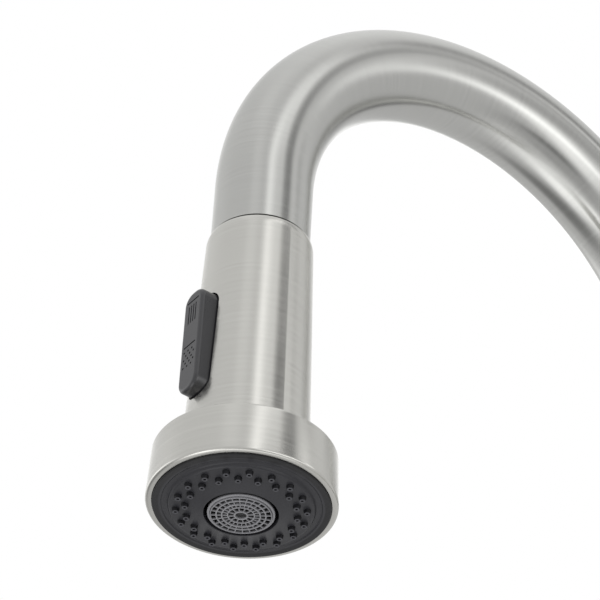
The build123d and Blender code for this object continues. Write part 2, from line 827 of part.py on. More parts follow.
with BuildPart() as head_sleeve:
    shoulder_u = head_length - sleeve_shoulder
    lip_u = head_length - sleeve_wall
    with BuildSketch(head_side):
        with BuildLine():
            Line((sleeve_foot_radius, sleeve_foot), (sleeve_top_radius, shoulder_u))
            shoulder_middle = (sleeve_top_radius - sleeve_shoulder_lean, head_length - sleeve_shoulder_drop)
            Spline((sleeve_top_radius, shoulder_u), shoulder_middle, (tube_radius + sleeve_lip, head_length),
                   tangents=((-0.03, 1), (-1, 0.25)))
            Polyline((tube_radius + sleeve_lip, head_length), (sleeve_mouth, head_length),
                     (sleeve_mouth, lip_u),
                     (sleeve_top_radius - sleeve_wall, lip_u),
                     (sleeve_foot_radius - sleeve_wall, sleeve_foot), (sleeve_foot_radius, sleeve_foot))
        make_face()
    revolve(axis=head_axis)
    with BuildSketch(front_of_head(pocket_floor - 2 * overrun)):
        with Locations((0, rocker_bottom + rocker_height / 2)):
            RectangleRounded(rocker_width + 2 * rocker_gap, rocker_height + 2 * rocker_gap,
                             rocker_corner + rocker_gap)
    extrude(amount=rocker_face, mode=Mode.SUBTRACT)
save(head_sleeve, "head_sleeve")

# Face plate: it curves down to the aerator inside a cove and a crest, and is pierced for the nozzles
mat_top = face_back + mat_thickness
nozzle_rings = ((nozzle_outer_circle, nozzle_phase), (nozzle_inner_circle, nozzle_phase + 180 / nozzle_count))


def face_at(radius):
    """Level of the face at a radius, along the chords on either side of its middle."""
    if radius < face_middle:
        share = (radius - face_hole) / (face_middle - face_hole)
        return face_hole_level + share * (face_middle_level - face_hole_level)
    share = (radius - face_middle) / (face_edge - face_middle)
    return face_middle_level + share * (face_level - face_middle_level)


with BuildPart() as face_plate:
    plate_edge = bell_bore - seat_gap
    with BuildSketch(head_side):
        with BuildLine():
            ThreePointArc((face_hole, face_hole_level), (face_middle, face_middle_level), (face_edge, face_level))
            Polyline((face_edge, face_level), (cove_inner, face_level + 0.3),
                     (cove_inner + 0.3, face_level + cove_depth), (crest_radius - 0.5, face_level + cove_depth),
                     (crest_radius - 0.2, crest_level), (crest_radius + 0.2, crest_level),
                     (plate_edge - face_rim_round, face_rim_level), (plate_edge, face_rim_level + face_rim_round),
                     (plate_edge, face_back), (face_hole, face_back), (face_hole, face_hole_level))
        make_face()
    revolve(axis=head_axis)
    for circle, phase in nozzle_rings:
        with BuildSketch(head_level(face_hole_level - overrun)):
            with PolarLocations(circle, nozzle_count, start_angle=phase):
                Circle(nozzle_root_radius + seat_gap)
        extrude(amount=face_back - face_hole_level + 2 * overrun, mode=Mode.SUBTRACT)
save(face_plate, "face_plate")

with BuildPart() as nozzle_mat:
    tube_along(head_level(face_back), mat_outer, mat_inner, mat_thickness)
    for circle, phase in nozzle_rings:
        root_level = face_at(circle)
        nozzle_tip = root_level - nozzle_height
        with BuildSketch(head_level(root_level)):
            with PolarLocations(circle, nozzle_count, start_angle=phase):
                Circle(nozzle_root_radius)
        extrude(amount=face_back - root_level)
        with Locations(head_level(nozzle_tip)):
            with PolarLocations(circle, nozzle_count, start_angle=phase):
                Cone(nozzle_tip_radius, nozzle_root_radius, nozzle_height,
                     align=(Align.CENTER, Align.CENTER, Align.MIN))
        with BuildSketch(head_level(nozzle_tip - overrun)):
            with PolarLocations(circle, nozzle_count, start_angle=phase):
                Circle(nozzle_bore)
        extrude(amount=mat_top - nozzle_tip + 2 * overrun, mode=Mode.SUBTRACT)
save(nozzle_mat, "nozzle_mat")

# Aerator: a grey insert with a grid of cells, in a housing with a screen and a flow regulator
grid_skirt = face_back + 0.9
with BuildPart() as aerator_grid:
    tube_along(head_level(aerator_lip), aerator_radius, aerator_rim, grid_skirt - aerator_lip)
    chamfer(aerator_grid.edges().filter_by(GeomType.CIRCLE).group_by(Axis.Z)[0], aerator_lip_edge)
    tube_along(head_level(aerator_face), aerator_rim + 0.2, 0, aerator_plate)
    for (inner, outer), cells in zip(aerator_rings, aerator_cell_counts):
        with BuildSketch(head_level(aerator_face - overrun)):
            Circle(outer * aerator_radius)
            Circle(inner * aerator_radius, mode=Mode.SUBTRACT)
            with PolarLocations((inner + outer) / 2 * aerator_radius, cells):
                Rectangle(2.0, aerator_rib, mode=Mode.SUBTRACT)
        extrude(amount=aerator_plate + 2 * overrun, mode=Mode.SUBTRACT)
save(aerator_grid, "aerator_grid")

with BuildPart() as aerator_housing:
    tube_along(head_level(grid_skirt), housing_radius, aerator_radius - 0.1, housing_top - grid_skirt)
    tube_along(head_level(housing_top - housing_roof), housing_radius, housing_outlet, housing_roof)
save(aerator_housing, "aerator_housing")

insert_radius = aerator_radius - seat_gap - running_fit
with BuildPart() as aerator_screen:
    tube_along(head_level(grid_skirt), insert_radius, 0, screen_thickness)
save(aerator_screen, "aerator_screen")

with BuildPart() as flow_regulator:
    regulator_floor = grid_skirt + screen_thickness
    tube_along(head_level(regulator_floor), insert_radius, regulator_bore,
               housing_top - housing_roof - regulator_floor)
    with BuildSketch(head_level(regulator_floor)):
        with PolarLocations(regulator_circle, regulator_holes):
            Circle(regulator_hole)
    extrude(amount=housing_top, mode=Mode.SUBTRACT)
save(flow_regulator, "flow_regulator")

with BuildPart() as aerator_seal:
    seal_ring(head_side, head_axis, aerator_seal_radius, housing_top + aerator_seal_section + running_fit,
              aerator_seal_section)
save(aerator_seal, "aerator_seal")

# Waterway core: flange, spray chamber, stem, check valve pocket, inlet and rocker lugs
port_top = housing_top + 2 * aerator_seal_section + seat_gap
core_neck = core_radius + core_step_out
flange_roof = bell_height - bell_web - seat_gap
with BuildPart() as waterway_core:
    turned(head_side, head_axis, [
        (0, port_top), (housing_radius + seat_gap, port_top), (housing_radius + seat_gap, mat_top),
        (mat_inner + chamber_wall, mat_top), (mat_inner + chamber_wall, chamber_top),
        (mat_outer - chamber_wall, chamber_top), (mat_outer - chamber_wall, mat_top), (core_flange, mat_top),
        (core_flange, flange_roof), (core_neck, flange_roof), (core_neck, core_step),
        (core_radius, core_step + core_step_out),
        (core_radius, core_top), (inlet_radius, core_top), (inlet_radius, inlet_bottom),
        (check_radius, inlet_bottom), (check_radius, check_bottom), (core_drain, check_bottom),
        (core_drain, check_bottom - core_drain_depth), (0, check_bottom - core_drain_depth)])
    tube_along(head_level(chamber_seal_u - chamber_seal_section - seat_gap), core_flange + overrun,
               core_flange - chamber_seal_depth, 2 * (chamber_seal_section + seat_gap), mode=Mode.SUBTRACT)
    pocket_top = rocker_bottom + rocker_height + pocket_margin
    pocket_bottom = rocker_bottom - pocket_margin
    with BuildSketch(front_of_head(pocket_floor)):
        with Locations((0, (pocket_top + pocket_bottom) / 2)):
            Rectangle(pocket_width, pocket_top - pocket_bottom)
    extrude(amount=core_radius, mode=Mode.SUBTRACT)
    with BuildSketch(front_of_head(lug_root)):
        for side in (-1, 1):
            with Locations((side * (pocket_width + lug_thickness) / 2, rocker_pivot_u)):
                Rectangle(lug_thickness, lug_height)
    extrude(amount=rocker_pivot + 2 * rocker_pin_radius - lug_root)
    with BuildSketch(front_of_head(rocker_pivot - rocker_barrel - rocker_side_gap)):
        with Locations((0, rocker_pivot_u)):
            Rectangle(pocket_width, lug_height)
    extrude(amount=core_radius, mode=Mode.SUBTRACT)
    with BuildSketch(front_of_head(spool_offset - spool_bore - rocker_gap)):
        with Locations((0, rocker_pivot_u)):
            Rectangle(arm_slot, lug_height)
    extrude(amount=core_radius, mode=Mode.SUBTRACT)
    with BuildSketch(Plane(origin=(0, -reach - rocker_pivot, ring_z + rocker_pivot_u), z_dir=(1, 0, 0))):
        Circle(rocker_pin_radius)
    extrude(amount=core_radius, both=True, mode=Mode.SUBTRACT)
    with BuildSketch(head_level(spool_bottom)):
        with Locations((0, -spool_offset)):
            Circle(spool_bore)
    extrude(amount=rocker_pivot_u - spool_bottom, mode=Mode.SUBTRACT)
    with BuildSketch(head_level(port_top - overrun)):
        with Locations((0, channel_offset)):
            Circle(channel_radius)
    extrude(amount=check_bottom - port_top + 2 * overrun, mode=Mode.SUBTRACT)
    with BuildSketch(front_of_head(-channel_offset)):
        with Locations((0, spool_waist_u)):
            Circle(stream_channel)
    extrude(amount=channel_offset + spool_offset, mode=Mode.SUBTRACT)
    with BuildSketch(front_of_head(spool_offset)):
        with Locations((0, spool_bottom + spray_channel_rise)):
            Circle(spray_channel)
    extrude(amount=spray_port - spool_offset, mode=Mode.SUBTRACT)
    with BuildSketch(head_level(chamber_top - overrun)):
        with Locations((0, -spray_port)):
            Circle(spray_channel)
    extrude(amount=spool_bottom + spray_channel_rise - chamber_top + overrun, mode=Mode.SUBTRACT)
save(waterway_core, "waterway_core")

with BuildPart() as chamber_seal:
    seal_ring(head_side, head_axis, core_flange + seat_gap - chamber_seal_section, chamber_seal_u,
              chamber_seal_section)
save(chamber_seal, "chamber_seal")

# Rocker button: a rounded key that tilts on its pin, with a fork behind it that moves the spool
rocker_middle = rocker_bottom + rocker_height / 2
rocker_centre = (0, -reach - rocker_pivot, ring_z + rocker_pivot_u)
rocker_side = Plane(origin=rocker_centre, x_dir=(0, 1, 0), z_dir=(1, 0, 0))
with BuildPart() as rocker_button:
    with BuildSketch(front_of_head(rocker_back)):
        with Locations((0, rocker_middle)):
            RectangleRounded(rocker_width, rocker_height, rocker_corner)
    extrude(amount=rocker_face - rocker_back)
    fillet(rocker_button.faces().sort_by(Axis.Y)[0].edges(), rocker_edge)
    with BuildSketch(rocker_side):
        Circle(rocker_barrel)
        with Locations((-(rocker_back + rocker_web_sink - rocker_pivot) / 2, 0)):
            Rectangle(rocker_back + rocker_web_sink - rocker_pivot, 2 * rocker_barrel)
    extrude(amount=pocket_width / 2 - rocker_side_gap, both=True)
    with BuildSketch(rocker_side):
        with Locations((arm_reach / 2, 0)):
            Rectangle(arm_reach, fork_height)
    extrude(amount=arm_slot / 2 - rocker_side_gap, both=True)
    with BuildSketch(Plane(origin=(0, -reach, ring_z + rocker_pivot_u - fork_height))):
        with Locations((0, -spool_offset)):
            Circle(spool_waist + fork_gap)
        with Locations((0, -spool_offset + fork_depth / 2)):
            Rectangle(2 * (spool_waist + fork_gap), fork_depth)
    extrude(amount=2 * fork_height, mode=Mode.SUBTRACT)
    with BuildSketch(rocker_side):
        Circle(rocker_pin_radius + running_fit)
    extrude(amount=pocket_width, both=True, mode=Mode.SUBTRACT)
    with BuildSketch(front_of_head(rocker_face - icon_depth)):
        with Locations((0, stream_bar_u), (0, spray_bar_u)):
            Rectangle(icon_width, icon_line)
        with GridLocations(icon_width / (stream_lines + 1), 0, stream_lines, 1):
            with Locations((0, stream_bar_u - stream_bar_gap - stream_length / 2)):
                Rectangle(stream_line, stream_length)
        for row in range(spray_rows):
            shift = spray_pitch / 2 * (row % 2)
            with Locations((shift - spray_pitch / 4, spray_bar_u - spray_bar_gap - row * spray_step)):
                with GridLocations(spray_pitch, 0, spray_columns, 1):
                    Circle(spray_dot)
    extrude(amount=icon_depth + overrun, mode=Mode.SUBTRACT)
save(rocker_button, "rocker_button")

with BuildPart() as rocker_pin:
    with BuildSketch(rocker_side):
        Circle(rocker_pin_radius - press_gap)
    extrude(amount=pocket_width / 2 + lug_thickness, both=True)
save(rocker_pin, "rocker_pin")

# Diverter spool: slides in its bore behind the rocker, sealed by two rings
spool_axis = Axis((0, -reach - spool_offset, 0), (0, 0, 1))
spool_side = Plane(origin=(0, -reach - spool_offset, ring_z), x_dir=(1, 0, 0), z_dir=(0, -1, 0))
spool_radius = spool_bore - running_fit
fork_bottom = rocker_pivot_u - fork_height / 2 - spool_fork_gap
fork_top = rocker_pivot_u + fork_height / 2 + spool_fork_gap
with BuildPart() as diverter_spool:
    turned(spool_side, spool_axis, [
        (0, spool_bottom + spool_foot), (spool_radius, spool_bottom + spool_foot),
        (spool_radius, lower_seal_u + spool_step), (spool_neck, spool_waist_u - spool_step),
        (spool_neck, spool_waist_u + spool_step), (spool_radius, upper_seal_u - spool_step),
        (spool_radius, upper_seal_u + spool_land), (spool_waist, upper_seal_u + spool_land + overrun),
        (spool_waist, fork_bottom - spool_collar_height), (spool_collar, fork_bottom - spool_collar_height),
        (spool_collar, fork_bottom), (spool_waist, fork_bottom), (spool_waist, fork_top),
        (spool_collar, fork_top), (spool_collar, fork_top + spool_collar_height),
        (0, fork_top + spool_collar_height)])
    for height in (lower_seal_u, upper_seal_u):
        groove_plane = Plane(origin=(0, -reach - spool_offset, ring_z + height - spool_seal_groove / 2))
        tube_along(groove_plane, spool_bore + overrun, spool_radius - spool_seal_groove, spool_seal_groove,
                   mode=Mode.SUBTRACT)
save(diverter_spool, "diverter_spool")

with BuildPart() as spool_seals:
    for height in (lower_seal_u, upper_seal_u):
        seal_ring(spool_side, spool_axis, spool_radius - spool_seal_groove / 2, height,
                  spool_seal_groove / 2 - running_fit / 2)
save(spool_seals, "spool_seals")

# Check valve: cage, poppet and spring below the hose nut
seat_u = inlet_bottom - seat_drop
poppet_top = seat_u - seat_gap
guide_top = check_bottom + cage_floor
cage_radius = check_radius - seat_gap
cage_flange = inlet_radius - 2 * seat_gap
washer_bottom = inlet_bottom + cage_rim
with BuildPart() as check_valve_cage:
    turned(head_side, head_axis, [
        (cage_guide, check_bottom), (cage_radius, check_bottom), (cage_radius, inlet_bottom),
        (cage_flange, inlet_bottom), (cage_flange, washer_bottom), (seat_radius, washer_bottom),
        (seat_radius, seat_u), (cage_inner, seat_u), (cage_inner, guide_top), (cage_guide, guide_top)])
    with BuildSketch(head_level(check_bottom - overrun)):
        with PolarLocations(cage_port_circle, cage_ports, start_angle=45):
            Circle(cage_port)
    extrude(amount=cage_floor + 2 * overrun, mode=Mode.SUBTRACT)
save(check_valve_cage, "check_valve_cage")

with BuildPart() as check_valve_poppet:
    turned(head_side, head_axis, [
        (0, poppet_top - poppet_disc), (0, poppet_top), (poppet_radius, poppet_top),
        (poppet_radius, poppet_top - poppet_disc)])
    tube_along(head_level(check_bottom), poppet_stem, 0, poppet_top - check_bottom)
save(check_valve_poppet, "check_valve_poppet")

with BuildPart() as check_valve_spring:
    tube_along(head_level(guide_top), spring_radius, spring_bore, poppet_top - poppet_disc - guide_top)
save(check_valve_spring, "check_valve_spring")

# Hose end: rubber washer, hose nut and crimped ferrule
nut_start = washer_bottom + hose_washer_thickness
nipple_top = nut_start + nipple_length
with BuildPart() as hose_washer:
    tube_along(head_level(washer_bottom), inlet_radius - hose_washer_inset, ferrule_bore, hose_washer_thickness)
save(hose_washer, "hose_washer")

with BuildPart() as hose_nut:
    tube_along(head_level(nut_start), inlet_radius - running_fit, 0, core_top - nut_start)
    with BuildSketch(head_level(core_top)):
        RegularPolygon(radius=hose_nut_radius, side_count=6)
    extrude(amount=hose_nut_cap)
    nut_bore_length = core_top + hose_nut_cap - nut_start
    tube_along(head_level(nut_start), nipple_radius + nipple_gap, 0, nut_bore_length, mode=Mode.SUBTRACT)
    tube_along(head_level(nut_start), nipple_radius + nipple_flange + nipple_gap, 0,
               nipple_length + nipple_gap, mode=Mode.SUBTRACT)
save(hose_nut, "hose_nut")

with BuildPart() as hose_ferrule:
    turned(head_side, head_axis, [
        (ferrule_bore, nut_start + seat_gap), (nipple_radius + nipple_flange, nut_start + seat_gap),
        (nipple_radius + nipple_flange, nipple_top), (nipple_radius, nipple_top),
        (nipple_radius, ferrule_bottom), (ferrule_radius, ferrule_bottom),
        (ferrule_radius, ferrule_top), (ferrule_bore, ferrule_top)])
save(hose_ferrule, "hose_ferrule")

with BuildPart() as hose_drop:
    tube_along(head_level(ferrule_top), hose_radius, hose_bore, arch_z - ring_z - ferrule_top)
save(hose_drop, "hose_drop")

# Dock: collar on the head, tapered bush and clip in the end of the tube
with BuildPart() as dock_collar:
    turned(head_side, head_axis, [
        (collar_bore, core_top + seat_gap), (collar_flange, core_top + seat_gap),
        (collar_flange, lip_u - seat_gap),
        (dock_root_radius, lip_u - seat_gap), (dock_root_radius, head_length),
        (dock_tip_radius, dock_tip - dock_tip_round), (dock_tip_radius - dock_tip_round, dock_tip),
        (collar_bore, dock_tip)])
save(dock_collar, "dock_collar")

dock_mouth = head_length + seam_gap
dock_slope = (dock_root_radius - dock_tip_radius) / (dock_length - dock_tip_round)
bush_top = arch_z - ring_z - sliding_gap
clip_u = dock_mouth + dock_clip_rise


def bush_radius(u):
    """Inside radius of the dock bush: the collar's taper plus the sliding gap."""
    return dock_root_radius + sliding_gap - dock_slope * (u - head_length)


stop_u = dock_tip + dock_stop_gap
with BuildPart() as dock_bush:
    turned(head_side, head_axis, [
        (bush_radius(dock_mouth), dock_mouth), (tube_bore - seat_gap / 2, dock_mouth),
        (tube_bore - seat_gap / 2, bush_top), (dock_stop, bush_top), (dock_stop, stop_u),
        (bush_radius(dock_tip), stop_u)])
    tube_along(head_level(clip_u), dock_clip_groove, 0, dock_clip_width + 2 * seat_gap, mode=Mode.SUBTRACT)
save(dock_bush, "dock_bush")

with BuildPart() as dock_clip:
    tube_along(head_level(clip_u + seat_gap), dock_clip_groove - running_fit, dock_clip_bore, dock_clip_width)
    with BuildSketch(head_level(clip_u)):
        with Locations((0, dock_clip_groove)):
            Rectangle(clip_split, clip_split)
    extrude(amount=dock_clip_width + overrun, mode=Mode.SUBTRACT)
save(dock_clip, "dock_clip")
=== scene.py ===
"""Pull-out kitchen faucet, dressed: finer surfaces, materials, camera and light round the solids.

Metres, in the frame of the solids: +Z up the riser, the spray head towards -Y, the lever on +X.
Heights inside the spray head are measured from the lower edge of its bell ring and written as u.
"""
import json

import bmesh
import bpy
import numpy as np
from bpy.props import FloatProperty, FloatVectorProperty, IntProperty, PointerProperty
from mathutils import Matrix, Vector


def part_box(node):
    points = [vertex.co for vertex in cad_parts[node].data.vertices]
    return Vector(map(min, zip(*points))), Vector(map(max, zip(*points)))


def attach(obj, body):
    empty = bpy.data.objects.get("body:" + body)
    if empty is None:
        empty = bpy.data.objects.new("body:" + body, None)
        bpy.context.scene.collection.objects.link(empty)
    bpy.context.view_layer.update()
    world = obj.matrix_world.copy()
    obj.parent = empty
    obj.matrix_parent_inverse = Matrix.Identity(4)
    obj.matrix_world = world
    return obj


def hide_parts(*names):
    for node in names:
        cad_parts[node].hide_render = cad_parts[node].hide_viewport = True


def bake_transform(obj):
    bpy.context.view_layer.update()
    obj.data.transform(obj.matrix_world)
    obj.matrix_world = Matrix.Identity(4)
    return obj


bl_info = {
    "name": "Pull-out kitchen faucet",
    "version": (1, 0, 0),
    "blender": (4, 5, 0),
    "location": "View3D > Sidebar > Faucet",
    "description": "Builds the surfaces, materials and studio of a pull-out kitchen faucet",
    "category": "Add Mesh",
}

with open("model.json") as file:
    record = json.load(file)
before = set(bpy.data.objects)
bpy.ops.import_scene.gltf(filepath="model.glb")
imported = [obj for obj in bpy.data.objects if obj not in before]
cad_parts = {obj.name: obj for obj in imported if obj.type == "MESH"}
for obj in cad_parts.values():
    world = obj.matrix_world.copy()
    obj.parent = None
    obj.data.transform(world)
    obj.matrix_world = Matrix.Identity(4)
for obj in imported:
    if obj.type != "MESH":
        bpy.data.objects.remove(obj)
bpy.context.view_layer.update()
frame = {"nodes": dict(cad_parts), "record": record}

MM = 0.001
SHARP_ANGLE = np.radians(38.0)
MERGE_DISTANCE = 2e-6
LAY = "lay"
BRUSH_MAP = "brush"
RISER_STEP = 4 * MM
CAMERA_RIGHT = (0.58213, 0.81180, 0.046055)
CAMERA_FORWARD = (-0.65146, 0.43176, 0.623846)


def length(name, description, millimetres):
    """A length setting, given in millimetres and kept in metres."""
    return FloatProperty(name=name, description=description, default=millimetres * MM, unit="LENGTH", precision=5)


def colour(name, description, value):
    """A colour setting in linear values."""
    return FloatVectorProperty(name=name, description=description, default=value, size=3, min=0.0, max=1.0,
                               subtype="COLOR")


class FaucetSpout(bpy.types.PropertyGroup):
    """Sizes of the gooseneck and the hose in it."""

    tube_radius: length("Tube radius", "Outside radius of the gooseneck", 14.0)
    tube_bore: length("Tube bore", "Inside radius of the gooseneck", 13.0)
    bend_radius: length("Bend radius", "Centre-line radius of the arch", 79.0)
    foot: length("Tube foot", "Height of the tube's lower end above the deck", 119.0)
    arch: length("Arch height", "Height at which the arch begins", 307.0)
    outlet: length("Tube outlet", "Height of the tube's end over the spray head", 287.2)
    edge: length("Edge round", "Rounding of the tube's two ends", 0.1)
    hose_radius: length("Hose radius", "Outside radius of the pull-out hose", 6.6)
    hose_bore: length("Hose bore", "Inside radius of the pull-out hose", 4.0)
    hose_tail: length("Hose tail", "Height of the hose's lower end, under the deck", -66.0)
    hose_top: length("Ferrule top", "Height of the ferrule's top, where the loose hose starts", 290.8)
    pull: length("Pull", "How far the spray head can be pulled out", 400.0)


class FaucetHead(bpy.types.PropertyGroup):
    """Sizes of the spray head."""

    ring: length("Ring height", "Height of the bell ring's lower edge above the deck", 198.8)
    reach: length("Reach", "Distance from the riser to the spray head", 158.0)
    bell_radius: length("Bell radius", "Radius at the lower edge of the bell ring", 25.5)
    bell_top_radius: length("Bell top radius", "Radius at the top of the bell ring", 24.9)
    bell_bore: length("Bell bore", "Inside radius of the bell ring", 23.64)
    bell_height: length("Bell height", "Height of the bell ring", 15.2)
    bell_web: length("Bell web", "Thickness of the ring's flat top", 2.1)
    bell_neck: length("Bell neck", "Radius of the opening in the ring's top", 15.6)
    bell_round: length("Bell round", "Rounding of the ring's edges", 1.0)
    face: length("Face level", "Level of the face plate at its edge, from the ring's edge", -1.25)
    face_middle: length("Face middle", "Radius halfway between the face's hole and its edge", 14.4)
    face_middle_level: length("Face middle level", "Level of the face plate halfway", -1.88)
    face_hole_level: length("Face hole level", "Level of the face plate at its middle hole", -2.97)
    face_back: length("Face back", "Level of the back of the face plate", 3.2)
    face_hole: length("Face hole", "Radius of the hole for the aerator", 9.9)
    face_edge: length("Face edge", "Radius at which the dished face ends", 19.0)
    face_rim_level: length("Face rim", "Level of the face plate's rim, where it meets the ring", -0.65)
    crest: length("Crest", "Radius of the raised crest round the face", 21.55)
    crest_level: length("Crest level", "Level of the crest", -0.45)
    cove_floor: length("Cove floor", "Level of the cove between face and crest", -0.25)
    nozzle_outer: length("Outer nozzles", "Radius of the outer circle of nozzles", 17.26)
    nozzle_inner: length("Inner nozzles", "Radius of the inner circle of nozzles", 14.85)
    nozzle_root: length("Nozzle root", "Radius of a nozzle where it leaves the plate", 1.1)
    nozzle_tip: length("Nozzle tip", "Radius of a nozzle's end", 0.8)
    nozzle_bore: length("Nozzle bore", "Radius of the hole in a nozzle", 0.33)
    nozzle_height: length("Nozzle height", "How far a nozzle stands out of the face", 1.15)
    nozzle_count: IntProperty(name="Nozzles", description="Nozzles in each of the two circles", default=18, min=3)
    nozzle_phase: FloatProperty(name="Nozzle turn", description="Turn of the outer circle", subtype="ANGLE",
                                default=float(np.radians(12.2)))
    mat_inner: length("Mat bore", "Inside radius of the nozzle mat", 11.2)
    mat_outer: length("Mat radius", "Outside radius of the nozzle mat", 21.6)
    mat_thickness: length("Mat thickness", "Thickness of the nozzle mat behind the plate", 1.2)
    aerator_radius: length("Aerator radius", "Outside radius of the aerator insert", 8.96)
    aerator_lip: length("Aerator lip", "Level of the aerator's lip", -3.0)
    aerator_face: length("Aerator face", "Level of the aerator's grid", -3.4)
    aerator_plate: length("Grid depth", "Depth of the aerator's grid", 1.8)
    rib: length("Rib width", "Width of a rib in the aerator's grid", 0.27)


class FaucetBase(bpy.types.PropertyGroup):
    """Sizes of the threaded shank under the deck."""

    shank_radius: length("Shank radius", "Outside radius of the shank's thread", 17.0)
    shank_bore: length("Shank bore", "Inside radius of the shank", 15.2)
    shank_bottom: length("Shank bottom", "Height of the shank's lower end", -62.0)
    shank_top: length("Shank top", "Height of the shank's upper end, in the body", 16.9)
    pitch: length("Thread pitch", "Pitch of the shank's thread", 1.5)
    thread_depth: length("Thread depth", "Depth of the shank's thread", 0.7)


class FaucetLooks(bpy.types.PropertyGroup):
    """Colours of the materials."""

    head_metal: colour("Head metal", "Satin nickel of the spray head", (0.712, 0.705, 0.669))
    tube_metal: colour("Tube metal", "Satin nickel of the gooseneck and the body", (0.622, 0.623, 0.602))
    steel: colour("Steel", "Plain stainless steel", (0.60, 0.60, 0.60))
    brass: colour("Brass", "Machined brass", (0.76, 0.58, 0.30))
    black: colour("Black plastic", "Moulded plastic of the face", (0.030, 0.030, 0.035))
    rubber: colour("Rubber", "Black silicone of the nozzles and seals", (0.022, 0.022, 0.026))
    rocker: colour("Rocker", "Moulded plastic of the spray head's rocker", (0.013, 0.013, 0.016))
    nozzle_tip: colour("Nozzle tips", "Lighter silicone at the nozzles' ends", (0.075, 0.075, 0.085))
    # Painted shade: the nozzles' sides are painted far darker than the rubber, for the shade on them; the tips are
    # lighter.
    nozzle_side_shade: colour("Nozzle side shade", "Black silicone painted darker on the nozzles' sides, as painted shade", (0.006, 0.006, 0.008))
    grey: colour("Grey plastic", "Moulded plastic of the aerator", (0.28, 0.28, 0.295))
    white: colour("White plastic", "Acetal of the inner pieces", (0.72, 0.72, 0.69))
    ceramic: colour("Ceramic", "Polished alumina discs", (0.80, 0.79, 0.75))
    braid: colour("Hose braid", "Nylon braid of the hose", (0.20, 0.205, 0.22))


class FaucetStudio(bpy.types.PropertyGroup):
    """Camera and light."""

    lens: FloatProperty(name="Lens", description="Focal length of the camera, in millimetres", default=175.164)
    eye: FloatVectorProperty(name="Camera place", description="Where the camera stands", size=3, unit="LENGTH",
                             subtype="TRANSLATION", default=(0.53315, -0.49687, -0.23551))
    floor: length("Floor", "Height of the studio floor", -300.0)
    fill: FloatProperty(name="Fill", description="Strength of the even light on matt surfaces", default=0.74, min=0.0)
    key: FloatProperty(name="Key", description="Power of the large lamp in watts", default=9.0, min=0.0)
    metal: FloatProperty(name="Room", description="Grey level of the room as the metal mirrors it", default=0.6,
                         min=0.0)


# Meshes

def grid_mesh(name, points, lay, wrap_rows=False, wrap_columns=True):
    """A mesh over a grid of points, rows by columns, with its seams and poles closed.

    points and lay have the shape rows x columns x 3. lay is where each point would lie if the piece were turned
    about a straight Z axis, and is kept for the materials. The UV map has u round the piece and v along it.
    """
    rows, columns = points.shape[:2]
    row, column = np.meshgrid(np.arange(rows - (not wrap_rows)), np.arange(columns - (not wrap_columns)),
                              indexing="ij")
    next_row, next_column = row + 1, column + 1
    ring, line = next_row % rows, next_column % columns
    quads = np.stack([row * columns + column, row * columns + line, ring * columns + line,
                      ring * columns + column], -1).reshape(-1, 4)
    spots = np.stack([np.stack([column, row], -1), np.stack([next_column, row], -1),
                      np.stack([next_column, next_row], -1), np.stack([column, next_row], -1)], -2)
    mesh = bpy.data.meshes.new(name)
    mesh.from_pydata(points.reshape(-1, 3), [], quads)
    mesh.attributes.new(LAY, "FLOAT_VECTOR", "POINT").data.foreach_set("vector", lay.reshape(-1).astype(np.float32))
    uv = spots.reshape(-1, 2) / np.array([columns, rows])
    mesh.uv_layers.new(name=BRUSH_MAP).data.foreach_set("uv", uv.reshape(-1).astype(np.float32))
    return mesh


def join(meshes):
    """One mesh from several, with points that coincide merged and the faces turned outward."""
    work = bmesh.new()
    for mesh in meshes:
        work.from_mesh(mesh)
        bpy.data.meshes.remove(mesh)
    bmesh.ops.remove_doubles(work, verts=work.verts, dist=MERGE_DISTANCE)
    bmesh.ops.dissolve_degenerate(work, edges=work.edges, dist=MERGE_DISTANCE / 2)
    bmesh.ops.recalc_face_normals(work, faces=work.faces)
    mesh = bpy.data.meshes.new("joined")
    work.to_mesh(mesh)
    work.free()
    return mesh


def piece(name, meshes, material, slot, body, *nodes):
    """An object from meshes, smooth but for its sharp edges, that stands for CAD nodes and rides on a body."""
    mesh = join(meshes)
    mesh.name = name
    mesh.shade_smooth()
    mesh.set_sharp_from_angle(angle=SHARP_ANGLE)
    made = bpy.data.objects.new(name, mesh)
    bpy.context.scene.collection.objects.link(made)
    mesh.materials.append(material)
    if nodes:
        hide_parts(*nodes)
    if body:
        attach(made, body)
    return made


def rounded(corners, radii, steps=6, closed=True):
    """A profile through corners, each cut back by its radius and rounded by a quadratic Bezier arc.

    An arc starts and ends at the radius from its corner, or at 0.49 of the shorter side, and has its corner as the
    middle control point.
    """
    corners = np.asarray(corners, float)
    reach = np.broadcast_to(np.asarray(radii, float), len(corners))
    before = np.roll(corners, 1, 0) - corners
    after = np.roll(corners, -1, 0) - corners
    far = np.linalg.norm(before, axis=1), np.linalg.norm(after, axis=1)
    cut = np.minimum(reach, 0.49 * np.minimum(far[0], far[1]))
    if not closed:
        cut = cut * (np.arange(len(corners)) % (len(corners) - 1) > 0)
    start = corners + before * (cut / np.maximum(far[0], 1e-12))[:, None]
    end = corners + after * (cut / np.maximum(far[1], 1e-12))[:, None]
    t = np.linspace(0.0, 1.0, steps)[None, :, None]
    arcs = start[:, None] * (1 - t) ** 2 + corners[:, None] * 2 * t * (1 - t) + end[:, None] * t ** 2
    line = arcs.reshape(-1, 2)
    fresh = np.linalg.norm(line - np.roll(line, 1, 0), axis=1) > 1e-9
    fresh[0] = True
    return line[fresh]


def turned(name, profile, columns=128, centre=(0.0, 0.0), closed=True, phase=0.0, rise=0.0):
    """A profile of (radius, height) turned about an upright axis and lifted: (r cos a, r sin a, z + rise)."""
    radius, height = np.asarray(profile, float).T
    a = np.linspace(0.0, 2 * np.pi, columns, endpoint=False) + phase
    lay = np.stack([radius[:, None] * np.cos(a), radius[:, None] * np.sin(a),
                    height[:, None] * np.ones(columns)], -1)
    return grid_mesh(name, lay + np.array([centre[0], centre[1], rise]), lay, wrap_rows=closed)


